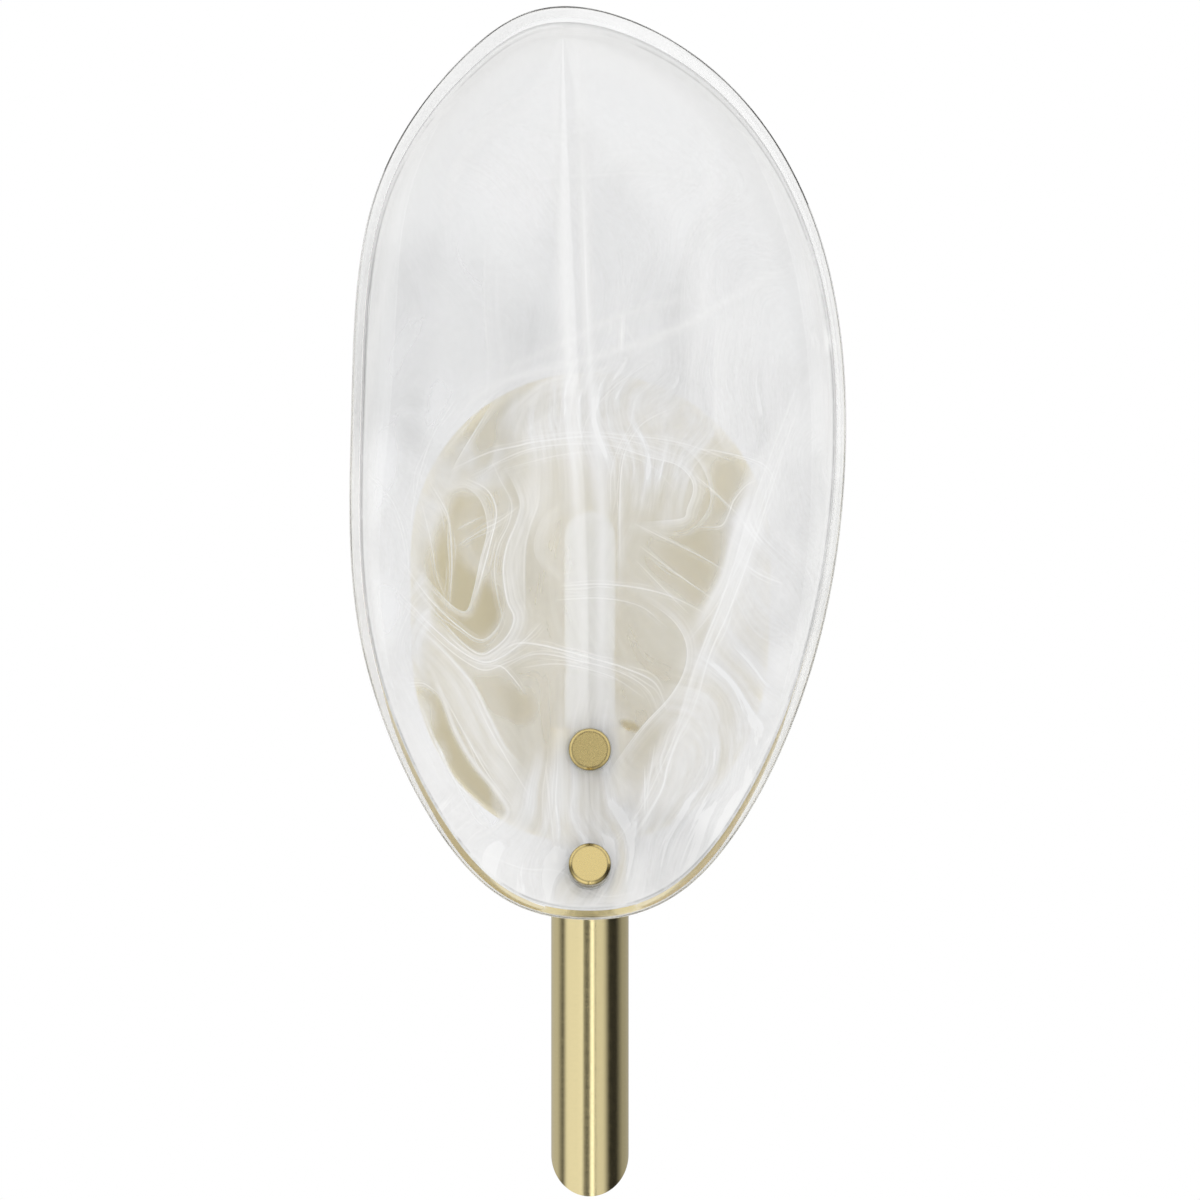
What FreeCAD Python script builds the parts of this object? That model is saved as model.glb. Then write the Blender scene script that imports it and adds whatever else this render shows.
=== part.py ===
import FreeCAD, Part

import math
import os
from bisect import bisect_left

import Sketcher
from FreeCAD import Placement, Rotation, Vector

# Shell wall sconce: a hand-formed glass dish in front of a brass tube light.
# Millimetres. The origin is on the wall plane at the back plate's centre,
# +X is to the right, +Z is up, and the wall is the plane Y = 0, so the light
# stands out from the wall towards -Y. "Reach" is the distance from the wall.

DRIVING = {
    # Back plate: a brass pan with two straight sides and two round ends.
    "plate_end_radius": 62.0,
    "plate_straight": 34.0,
    "plate_reach": 22.0,
    "plate_wall": 1.2,
    "plate_edge_radius": 4.0,
    # Crossbar behind the plate, screwed to the wall box.
    "strap_width": 22.0,
    "strap_thickness": 2.0,
    "strap_tab_reach": 15.0,
    "strap_gap": 0.1,
    "slot_spacing": 88.9,
    "slot_width": 5.0,
    "slot_travel": 8.0,
    "plate_screw_radius": 2.0,
    "plate_screw_length": 7.0,
    "plate_screw_reach": 9.0,
    "screw_clearance": 0.2,
    # Earth terminal and the terminal block on the crossbar.
    "earth_screw_height": -14.0,
    "earth_screw_head_radius": 3.5,
    "block_width": 18.0,
    "block_height": 18.0,
    "block_reach": 16.0,
    "block_bottom": 2.0,
    "clamp_screw_radius": 1.6,
    "clamp_hole_radius": 2.1,
    "pole_offset": 3.6,
    "clamp_offset": 5.2,
    "clamp_share": 0.22,
    "block_screw_radius": 1.2,
    "block_screw_head_radius": 2.4,
    # Tube that carries the lamp, and the arm that carries the tube.
    "tube_reach": 52.7,
    "tube_radius": 12.7,
    "tube_wall": 1.2,
    "tube_rise": 16.7,
    "tube_length": 151.2,
    "tube_cut_angle": 45.0,
    "end_plate_thickness": 1.2,
    "cap_thickness": 1.0,
    "cap_overhang": 0.6,
    "cap_spigot_length": 4.0,
    "cap_wire_radius": 5.2,
    "arm_width": 12.0,
    "arm_height": 28.0,
    "arm_inset": 22.0,
    "arm_screw_spacing": 17.0,
    "arm_screw_radius": 2.0,
    "arm_screw_thread": 6.0,
    "arm_screw_head_radius": 3.5,
    "arm_screw_head_height": 2.4,
    "lock_washer_thickness": 0.8,
    "wire_hole_radius": 4.6,
    "core_length": 50.0,
    "core_wire_radius": 5.0,
    "thread_clearance": 0.02,
    # Glass dish.
    "shell_width": 160.0,
    "shell_height": 291.0,
    "shell_bowl_rise": 41.6,
    "shell_bowl_reach": 72.6,
    "shell_thickness": 4.5,
    "shell_top_thickness": 6.0,
    "rim_reach_bottom": 80.0,
    "rim_reach_top": 122.5,
    "rim_band": 4.3,
    "rim_band_top": 7.4,
    "fold_depth": 1.2,
    "fold_width": 10.0,
    "fold_round": 3.0,
    "fold_lean": 0.0515,
    "fold_lean_start": 15.0,
    # Fixings that hold the dish to the tube.
    "upper_fixing_rise": 11.0,
    "lower_fixing_drop": 27.0,
    "stud_radius": 2.0,
    "stud_grip": 6.4,
    "stud_engagement": 4.6,
    "glass_hole_radius": 4.0,
    "grommet_wall": 1.6,
    "grommet_clearance": 0.15,
    "seat_radius": 6.0,
    "washer_radius": 7.3,
    "washer_thickness": 1.0,
    "washer_clearance": 0.3,
    "knob_radius": 6.8,
    "knob_height": 7.0,
    "knob_bevel": 1.0,
    "knob_running_fit": 0.05,
    "moving_gap": 0.1,
    # Lamp holder and lamp.
    "holder_radius": 8.5,
    "holder_height": 18.0,
    "pin_spacing": 9.0,
    "pin_width": 2.4,
    "pin_thickness": 0.7,
    "pin_length": 7.5,
    "contact_width": 3.6,
    "contact_depth": 2.2,
    "contact_length": 13.0,
    "contact_fit": 0.05,
    "holder_screw_spacing": 11.0,
    "holder_screw_radius": 1.25,
    "holder_screw_head": 2.2,
    "lamp_base_radius": 8.1,
    "lamp_base_height": 7.5,
    "lamp_radius": 8.5,
    "lamp_height": 53.1,
    "lamp_wall": 0.9,
    "board_width": 9.0,
    "board_thickness": 1.0,
    "board_height": 34.0,
    # Leads inside the plate, arm and tube.
    "lead_radius": 0.8,
    "lead_reach": 10.5,
    "lead_bend_radius": 9.0,
    "lead_turn_radius": 4.5,
    "tag_thickness": 0.6,
    "tag_radius": 4.0,
}

# Heights that follow from the driving dimensions. The arm stands a fixed
# inset above the plate's lower end, and the tube, the two fixings and the
# deepest point of the bowl are measured from the arm's centre.
DERIVED = {
    "arm_centre": "arm_inset - plate_end_radius - plate_straight / 2",
    "tube_top": "arm_centre + tube_rise",
    "shell_bowl_height": "arm_centre + shell_bowl_rise",
    "upper_fixing_height": "arm_centre + upper_fixing_rise",
    "lower_fixing_height": "arm_centre - lower_fixing_drop",
}

# Control points of the dish's edge, clockwise from the top, as shares of its
# width and height from the deepest point of the bowl.
EDGE_SHAPE = (
    (-0.059, 0.732),
    (0.291, 0.647),
    (0.503, 0.448),
    (0.528, 0.178),
    (0.441, -0.066),
    (0.219, -0.284),
    (-0.047, -0.304),
    (-0.266, -0.260),
    (-0.497, 0.001),
    (-0.475, 0.256),
    (-0.469, 0.510),
    (-0.250, 0.665),
)

DOC = FreeCAD.newDocument("shell_wall_sconce")
SHEET = DOC.addObject("Spreadsheet::Sheet", "dim")


def fill_sheet():
    """Write the driving dimensions into the sheet, one named cell each."""
    for row, (name, value) in enumerate(DRIVING.items(), start=1):
        SHEET.set(f"A{row}", name)
        SHEET.set(f"B{row}", str(value))
        SHEET.setAlias(f"B{row}", name)
    DOC.recompute()


fill_sheet()
PARTS = []


def words(text):
    """Turn a formula in the sheet's names into an expression on the sheet."""
    out = []
    word = ""
    for letter in text + " ":
        if letter.isalnum() or letter == "_":
            word += letter
            continue
        if word in DERIVED:
            word = f"({words(DERIVED[word])})"
        elif word in DRIVING:
            word = f"dim.{word}"
        out.append(word)
        out.append(letter)
        word = ""
    return "".join(out).strip()


def size(text):
    """The value of a formula in the sheet's names."""
    return float(SHEET.evalExpression(words(text)))


def bind(thing, prop, text):
    """Bind a property, or a part of a placement, to a formula."""
    thing.setExpression(prop, words(text))


def part(thing, label):
    """Name a finished sub-part and keep it for export."""
    thing.Label = label
    PARTS.append(thing)
    return thing


def place(thing, x, y, z, direction=Vector(0, 0, 1)):
    """Stand a piece on a bound point, with its own Z along a direction."""
    thing.Placement = Placement(Vector(), Rotation(Vector(0, 0, 1), direction))
    for axis, text in zip("xyz", (x, y, z)):
        bind(thing, f"Placement.Base.{axis}", text)
    return thing


# --- Building blocks -----------------------------------------------------

OUT = Vector(0, -1, 0)
UP = Vector(0, 0, 1)
DOWN = Vector(0, 0, -1)


def rod(name, radius, length, x, y, z, direction=UP):
    """A round bar that starts at a point."""
    thing = DOC.addObject("Part::Cylinder", name)
    bind(thing, "Radius", radius)
    bind(thing, "Height", length)
    return place(thing, x, y, z, direction)


def block(name, wide, deep, high, x, y, z):
    """A block centred on x, with its back at y and its bottom at z."""
    thing = DOC.addObject("Part::Box", name)
    bind(thing, "Length", wide)
    bind(thing, "Width", deep)
    bind(thing, "Height", high)
    return place(thing, f"({x}) - ({wide}) / 2", f"({y}) - ({deep})", z)


def joined(name, *things):
    """Several pieces made one."""
    thing = DOC.addObject("Part::MultiFuse", name)
    thing.Shapes = list(things)
    return thing


def group(name, *things):
    """Several separate pieces kept as one sub-part."""
    thing = DOC.addObject("Part::Compound", name)
    thing.Links = list(things)
    return thing


def less(name, base, *tools):
    """A piece with the tools cut away."""
    tool = tools[0] if len(tools) == 1 else joined(name + "_tools", *tools)
    thing = DOC.addObject("Part::Cut", name)
    thing.Base = base
    thing.Tool = tool
    return thing


def body(name):
    """An empty body for one piece."""
    return DOC.addObject("PartDesign::Body", name)


def sketch(owner, name, role):
    """A sketch on one of the body's own origin planes."""
    thing = owner.newObject("Sketcher::SketchObject", name)
    plane = next(f for f in owner.Origin.OriginFeatures if f.Role == role)
    thing.AttachmentSupport = [(plane, "")]
    thing.MapMode = "FlatFace"
    return thing


def pin_point(drawing, geometry, point, across, along):
    """Fix a sketch point at a bound distance from the sketch's origin."""
    for kind, text in (("DistanceX", across), ("DistanceY", along)):
        rule = Sketcher.Constraint(kind, -1, 1, geometry, point, size(text))
        number = drawing.addConstraint(rule)
        bind(drawing, f"Constraints[{number}]", text)


def corners(drawing, points):
    """A closed run of straight lines through bound corners."""
    at = [Vector(size(a), size(b), 0) for a, b in points]
    first = drawing.GeometryCount
    count = len(at)
    for i in range(count):
        drawing.addGeometry(Part.LineSegment(at[i], at[(i + 1) % count]), False)
    for i in range(count):
        end = first + (i + 1) % count
        drawing.addConstraint(Sketcher.Constraint("Coincident", first + i, 2, end, 1))
    for i, (across, along) in enumerate(points):
        pin_point(drawing, first + i, 1, across, along)


def slot(drawing, radius, straight, across="0", along="0"):
    """An upright slot outline: two half circles joined by two straight sides."""
    r = size(radius)
    half = f"({straight}) / 2"
    cx = size(across)
    top = size(f"({along}) + {half}")
    bottom = size(f"({along}) - {half}")
    normal = Vector(0, 0, 1)
    upper = Part.Circle(Vector(cx, top, 0), normal, r)
    lower = Part.Circle(Vector(cx, bottom, 0), normal, r)
    first = drawing.GeometryCount
    drawing.addGeometry(Part.ArcOfCircle(upper, 0, math.pi), False)
    left = Part.LineSegment(Vector(cx - r, top, 0), Vector(cx - r, bottom, 0))
    drawing.addGeometry(left, False)
    drawing.addGeometry(Part.ArcOfCircle(lower, math.pi, 2 * math.pi), False)
    right = Part.LineSegment(Vector(cx + r, bottom, 0), Vector(cx + r, top, 0))
    drawing.addGeometry(right, False)
    for i in range(4):
        rule = Sketcher.Constraint("Tangent", first + i, 2, first + (i + 1) % 4, 1)
        drawing.addConstraint(rule)
    number = drawing.addConstraint(Sketcher.Constraint("Radius", first, r))
    bind(drawing, f"Constraints[{number}]", radius)
    drawing.addConstraint(Sketcher.Constraint("Equal", first, first + 2))
    pin_point(drawing, first, 3, across, f"({along}) + {half}")
    pin_point(drawing, first + 2, 3, across, f"({along}) - {half}")


def circle(drawing, radius, across, along):
    """A bound circle."""
    where = Vector(size(across), size(along), 0)
    ring = Part.Circle(where, Vector(0, 0, 1), size(radius))
    number = drawing.addGeometry(ring, False)
    rule = drawing.addConstraint(Sketcher.Constraint("Radius", number, size(radius)))
    bind(drawing, f"Constraints[{rule}]", radius)
    pin_point(drawing, number, 3, across, along)


def pad(owner, drawing, length):
    """A sketch grown along its normal."""
    thing = owner.newObject("PartDesign::Pad", drawing.Name + "_pad")
    thing.Profile = drawing
    bind(thing, "Length", length)
    return thing


def pocket(owner, drawing, length):
    """A sketch cut along its normal, on the side where the body stands."""
    thing = owner.newObject("PartDesign::Pocket", drawing.Name + "_cut")
    thing.Profile = drawing
    thing.Reversed = True
    bind(thing, "Length", length)
    return thing


def turned(name, points):
    """A body turned about its own Z from a half profile of bound corners."""
    owner = body(name)
    drawing = sketch(owner, name + "_profile", "XZ_Plane")
    corners(drawing, points)
    lathe = owner.newObject("PartDesign::Revolution", name + "_turned")
    lathe.Profile = drawing
    lathe.ReferenceAxis = (drawing, ["V_Axis"])
    lathe.Angle = 360
    return owner


def edges_where(shape, test):
    """Names of the edges whose every vertex meets a test."""
    names = []
    for number, edge in enumerate(shape.Edges, start=1):
        if all(test(v.Point) for v in edge.Vertexes):
            names.append(f"Edge{number}")
    return names


def fillet(owner, base, test, radius):
    """Round the edges of a feature that meet a test."""
    DOC.recompute()
    thing = owner.newObject("PartDesign::Fillet", base.Name + "_round")
    thing.Base = (base, edges_where(base.Shape, test))
    bind(thing, "Radius", radius)
    return thing


def near(a, b):
    """Whether two lengths are the same to a hundredth."""
    return abs(a - b) < 0.01


# --- Back plate and crossbar ---------------------------------------------


def make_back_plate():
    """Pressed brass pan, open to the wall, with its front edge rounded."""
    owner = body("plate_pan")
    outer = sketch(owner, "plate_outer", "XZ_Plane")
    slot(outer, "plate_end_radius", "plate_straight")
    blank = pad(owner, outer, "plate_reach")
    reach = size("plate_reach")
    fillet(owner, blank, lambda p: near(p.y, -reach), "plate_edge_radius")
    inner = sketch(owner, "plate_inner", "XZ_Plane")
    slot(inner, "plate_end_radius - plate_wall", "plate_straight")
    hollow = pocket(owner, inner, "plate_reach - plate_wall")
    depth = size("plate_reach - plate_wall")
    inner_radius = "plate_edge_radius - plate_wall"
    fillet(owner, hollow, lambda p: near(p.y, -depth), inner_radius)
    holes = sketch(owner, "plate_holes", "XZ_Plane")
    circle(holes, "wire_hole_radius", "0", "arm_centre")
    for side in ("+", "-"):
        height = f"arm_centre {side} arm_screw_spacing / 2"
        circle(holes, "arm_screw_radius + screw_clearance", "0", height)
    pocket(owner, holes, "plate_reach")
    rims = []
    for name, direction, start in (
        ("top", UP, "plate_straight / 2"),
        ("bottom", DOWN, "-plate_straight / 2"),
    ):
        drill = "plate_screw_radius + screw_clearance"
        rims.append(
            rod(
                f"plate_rim_hole_{name}",
                drill,
                "plate_end_radius + plate_wall",
                "0",
                "-plate_screw_reach",
                start,
                direction,
            )
        )
    part(less("back_plate_drilled", owner, *rims), "back_plate")


def tab_height(side):
    """The outer face of a crossbar tab, just inside the plate's rim."""
    arc = "sqrt((plate_end_radius - plate_wall)^2 - (strap_width / 2)^2)"
    return f"{side}({arc} + plate_straight / 2 - strap_gap)"


def make_mounting_strap():
    """Steel crossbar with a bent tab at each end and two wall-box slots."""
    owner = body("strap_bar")
    side_view = sketch(owner, "strap_profile", "YZ_Plane")
    top = tab_height("")
    bottom = tab_height("-")
    corners(
        side_view,
        (
            ("0", bottom),
            ("0", top),
            ("-strap_tab_reach", top),
            ("-strap_tab_reach", f"{top} - strap_thickness"),
            ("-strap_thickness", f"{top} - strap_thickness"),
            ("-strap_thickness", f"{bottom} + strap_thickness"),
            ("-strap_tab_reach", f"{bottom} + strap_thickness"),
            ("-strap_tab_reach", bottom),
        ),
    )
    bar = pad(owner, side_view, "strap_width")
    bar.Midplane = True
    slots = sketch(owner, "strap_slots", "XZ_Plane")
    for side in ("", "-"):
        height = f"{side}slot_spacing / 2"
        slot(slots, "slot_width / 2", "slot_travel", "0", height)
    pocket(owner, slots, "strap_thickness")
    drills = [
        rod(
            "strap_earth_hole",
            "plate_screw_radius + thread_clearance",
            "strap_thickness",
            "0",
            "0",
            "earth_screw_height",
            OUT,
        ),
        rod(
            "strap_block_hole",
            "block_screw_radius + thread_clearance",
            "strap_thickness",
            "0",
            "0",
            "block_bottom + block_height / 2",
            OUT,
        ),
    ]
    for name, side, direction in (("top", "", DOWN), ("bottom", "-", UP)):
        drills.append(
            rod(
                f"strap_tab_hole_{name}",
                "plate_screw_radius + thread_clearance",
                "strap_thickness",
                "0",
                "-plate_screw_reach",
                tab_height(side),
                direction,
            )
        )
    part(less("strap_drilled", owner, *drills), "mounting_strap")


def make_plate_screws():
    """Two headless screws that lock the plate's rim to the tabs."""
    screws = []
    rim = "(plate_end_radius + plate_straight / 2)"
    for name, side, direction in (("top", "", DOWN), ("bottom", "-", UP)):
        blank = rod(
            f"plate_screw_{name}_blank",
            "plate_screw_radius",
            "plate_screw_length",
            "0",
            "-plate_screw_reach",
            f"{side}{rim}",
            direction,
        )
        socket = DOC.addObject("Part::Prism", f"plate_screw_{name}_socket")
        socket.Polygon = 6
        bind(socket, "Circumradius", "plate_screw_radius / 2")
        bind(socket, "Height", "plate_screw_radius")
        place(socket, "0", "-plate_screw_reach", f"{side}{rim}", direction)
        screws.append(less(f"plate_screw_{name}", blank, socket))
    part(group("plate_screws", *screws), "plate_screws")


# --- Terminals ------------------------------------------------------------


def make_earth_terminal():
    """Earth screw on the crossbar, and the two ring tags of the earth lead."""
    top = "strap_thickness + tag_thickness"
    head = rod(
        "earth_head",
        "earth_screw_head_radius",
        "plate_screw_radius",
        "0",
        f"-({top})",
        "earth_screw_height",
        OUT,
    )
    shank = rod(
        "earth_shank",
        "plate_screw_radius",
        top,
        "0",
        "0",
        "earth_screw_height",
        OUT,
    )
    part(joined("earth_screw", head, shank), "earth_screw")
    tags = []
    for name, y, z in (
        ("strap", "-strap_thickness", "earth_screw_height"),
        (
            "arm",
            "-(plate_reach - plate_wall - tag_thickness)",
            "arm_centre + arm_screw_spacing / 2",
        ),
    ):
        ring = rod(f"tag_{name}_ring", "tag_radius", "tag_thickness", "0", y, z, OUT)
        hole = "plate_screw_radius + thread_clearance"
        bore = rod(f"tag_{name}_bore", hole, "tag_thickness", "0", y, z, OUT)
        tags.append(less(f"tag_{name}", ring, bore))
    part(group("earth_tags", *tags), "earth_tags")


def make_terminal_block():
    """Two-pole moulded block, its fixing screw and its four clamp screws."""
    body_block = block(
        "block_blank",
        "block_width",
        "block_reach - strap_thickness",
        "block_height",
        "0",
        "-strap_thickness",
        "block_bottom",
    )
    middle = "block_bottom + block_height / 2"
    tools = [
        rod(
            "block_fixing_bore",
            "block_screw_radius + screw_clearance",
            "block_reach",
            "0",
            "0",
            middle,
            OUT,
        ),
    ]
    clamps = []
    for pole, side in (("live", ""), ("neutral", "-")):
        tools.append(
            rod(
                f"block_{pole}_way",
                "lead_radius + screw_clearance",
                "block_height",
                f"{side}clamp_offset",
                "-lead_reach",
                "block_bottom",
            )
        )
        for row, share in (("lower", "clamp_share"), ("upper", "(1 - clamp_share)")):
            height = f"block_bottom + block_height * {share}"
            well = "lead_reach + lead_radius + screw_clearance"
            name = f"block_{pole}_{row}"
            x = f"{side}clamp_offset"
            deep = f"block_reach - ({well})"
            tools.append(
                rod(name + "_well", "clamp_hole_radius", deep, x, f"-({well})", height, OUT)
            )
            long = f"{deep} - clamp_hole_radius / 2"
            clamps.append(
                rod(name + "_screw", "clamp_screw_radius", long, x, f"-({well})", height, OUT)
            )
    part(less("terminal_block", body_block, *tools), "terminal_block")
    part(group("clamp_screws", *clamps), "clamp_screws")
    shank = rod("block_screw_shank", "block_screw_radius", "block_reach", "0", "0", middle, OUT)
    head = rod(
        "block_screw_head",
        "block_screw_head_radius",
        "block_screw_radius",
        "0",
        "-block_reach",
        middle,
        OUT,
    )
    part(joined("block_screw", shank, head), "block_screw")


# --- Arm, tube and core ---------------------------------------------------


def make_arm():
    """Brass bar between plate and tube, its front end hollowed to the tube."""
    owner = body("arm_bar")
    section = sketch(owner, "arm_section", "XZ_Plane")
    slot(section, "arm_width / 2", "arm_height - arm_width", "0", "arm_centre")
    circle(section, "wire_hole_radius", "0", "arm_centre")
    for side in ("+", "-"):
        height = f"arm_centre {side} arm_screw_spacing / 2"
        circle(section, "arm_screw_radius + screw_clearance", "0", height)
    pad(owner, section, "tube_reach")
    tube_space = rod(
        "arm_tube_space",
        "tube_radius",
        "arm_height * 2",
        "0",
        "-tube_reach",
        "arm_centre - arm_height",
    )
    plate_space = block(
        "arm_plate_space",
        "arm_height",
        "plate_reach",
        "arm_height * 2",
        "0",
        "0",
        "arm_centre - arm_height",
    )
    part(less("arm_cut", owner, tube_space, plate_space), "arm")


def make_tube():
    """Drawn brass tube, its lower end cut on a slant with the front lowest."""
    low = "tube_top - tube_length"
    y = "-tube_reach"
    outer = rod("tube_outer", "tube_radius", "tube_length", "0", y, low)
    bore = rod("tube_bore", "tube_radius - tube_wall", "tube_length", "0", y, low)
    drills = [
        rod(
            "tube_wire_hole",
            "wire_hole_radius",
            "tube_radius",
            "0",
            "-tube_reach + tube_radius",
            "arm_centre",
            OUT,
        )
    ]
    for name, side in (("upper", "+"), ("lower", "-")):
        drills.append(
            rod(
                f"tube_arm_hole_{name}",
                "arm_screw_radius + screw_clearance",
                "tube_radius",
                "0",
                "-tube_reach + tube_radius",
                f"arm_centre {side} arm_screw_spacing / 2",
                OUT,
            )
        )
    for name in FIXINGS:
        drills.append(fixing_drill("tube", name, "stud_radius + screw_clearance"))
    waste = slanted_waste("tube_waste", "0")
    part(less("tube_cut", outer, bore, waste, *drills), "tube")


def fixing_drill(owner, name, radius):
    """A drill on a fixing's axis, from the stud's inner end to well past the tube."""
    drill = DOC.addObject("Part::Cylinder", f"{owner}_{name}_hole")
    bind(drill, "Radius", radius)
    bind(drill, "Height", "stud_grip + tube_radius")
    return on_axis(drill, name, stud_start(name))


def slanted_waste(name, inset):
    """What lies under the tube's slanted end, or a stated distance inside it."""
    span = "tube_radius * 6"  # a cube that covers the whole slanted end
    wide = size(span)
    thing = DOC.addObject("Part::Box", name)
    for prop in ("Length", "Width", "Height"):
        bind(thing, prop, span)
    angle = size("tube_cut_angle")
    turn = Rotation(Vector(1, 0, 0), angle)
    tip = Vector(0, -size("tube_reach + tube_radius"), size("tube_top - tube_length"))
    corner = turn.multVec(Vector(-wide / 2, -wide / 2, -wide + size(inset)))
    thing.Placement = Placement(tip + corner, turn)
    return thing


def make_tube_end_plate():
    """Oval plate that closes the slanted end, flush inside the tube."""
    low = "tube_top - tube_length"
    radius = "tube_radius - tube_wall"
    plug = rod("end_plug", radius, "tube_length / 2", "0", "-tube_reach", low)
    under = slanted_waste("end_under", "0")
    above = slanted_waste("end_above", "end_plate_thickness")
    thing = DOC.addObject("Part::Common", "end_plate_common")
    thing.Base = less("end_plug_cut", plug, under)
    thing.Tool = above
    part(thing, "tube_end_plate")


def make_tube_cap():
    """Turned brass cap on the tube, with a spigot inside it and a wire hole."""
    rim = "tube_radius + cap_overhang"
    spigot = "tube_radius - tube_wall - thread_clearance"
    owner = turned(
        "tube_cap_turning",
        (
            ("cap_wire_radius", "-cap_spigot_length"),
            (spigot, "-cap_spigot_length"),
            (spigot, "0"),
            (rim, "0"),
            (rim, "cap_thickness"),
            ("cap_wire_radius", "cap_thickness"),
        ),
    )
    place(owner, "0", "-tube_reach", "tube_top")
    holes = []
    for name, side in (("left", "-"), ("right", "")):
        holes.append(
            rod(
                f"cap_screw_hole_{name}",
                "holder_screw_radius + thread_clearance",
                "cap_spigot_length + cap_thickness",
                "0",
                f"-tube_reach {side or '+'} holder_screw_spacing / 2 ",
                "tube_top - cap_spigot_length",
            )
        )
    part(less("tube_cap_drilled", owner, *holes), "tube_cap")


def make_tube_core():
    """Brass block inside the tube, tapped for the arm screws and the studs."""
    radius = "tube_radius - tube_wall - thread_clearance"
    top = "tube_top - cap_spigot_length"
    blank = rod("core_blank", radius, "core_length", "0", "-tube_reach", f"{top} - core_length")
    bore_bottom = "arm_centre - wire_hole_radius"
    tools = [
        rod(
            "core_wire_bore",
            "core_wire_radius",
            f"({top}) - ({bore_bottom})",
            "0",
            "-tube_reach",
            bore_bottom,
        ),
        rod(
            "core_cross_bore",
            "wire_hole_radius",
            "tube_radius",
            "0",
            "-tube_reach + tube_radius",
            "arm_centre",
            OUT,
        ),
    ]
    for name, side in (("upper", "+"), ("lower", "-")):
        tools.append(
            rod(
                f"core_arm_hole_{name}",
                "arm_screw_radius + thread_clearance",
                "arm_screw_thread + tube_wall",
                "0",
                "-tube_reach + tube_radius",
                f"arm_centre {side} arm_screw_spacing / 2",
                OUT,
            )
        )
    for name in FIXINGS:
        tools.append(fixing_drill("core", name, "stud_radius + thread_clearance"))
    part(less("core_drilled", blank, *tools), "tube_core")


def make_arm_screws():
    """Two machine screws from inside the plate into the core, with washers."""
    screws = []
    washers = []
    seat = "plate_reach - plate_wall"
    for name, side in (("upper", "+"), ("lower", "-")):
        z = f"arm_centre {side} arm_screw_spacing / 2"
        under = f"{seat} - lock_washer_thickness"
        if side == "+":
            under = f"{under} - tag_thickness"
        length = f"tube_reach - tube_radius + arm_screw_thread - ({under})"
        shank = rod(f"arm_screw_{name}_shank", "arm_screw_radius", length, "0", f"-({under})", z, OUT)
        head = rod(
            f"arm_screw_{name}_head",
            "arm_screw_head_radius",
            "arm_screw_head_height",
            "0",
            f"-({under}) + arm_screw_head_height",
            z,
            OUT,
        )
        screws.append(joined(f"arm_screw_{name}", shank, head))
        ring = rod(
            f"lock_washer_{name}_ring",
            "arm_screw_head_radius",
            "lock_washer_thickness",
            "0",
            f"-({under})",
            z,
            OUT,
        )
        bore = rod(
            f"lock_washer_{name}_bore",
            "arm_screw_radius + thread_clearance",
            "lock_washer_thickness",
            "0",
            f"-({under})",
            z,
            OUT,
        )
        washers.append(less(f"lock_washer_{name}", ring, bore))
    part(group("arm_screws", *screws), "arm_screws")
    part(group("lock_washers", *washers), "lock_washers")


# --- Glass dish -----------------------------------------------------------


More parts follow.
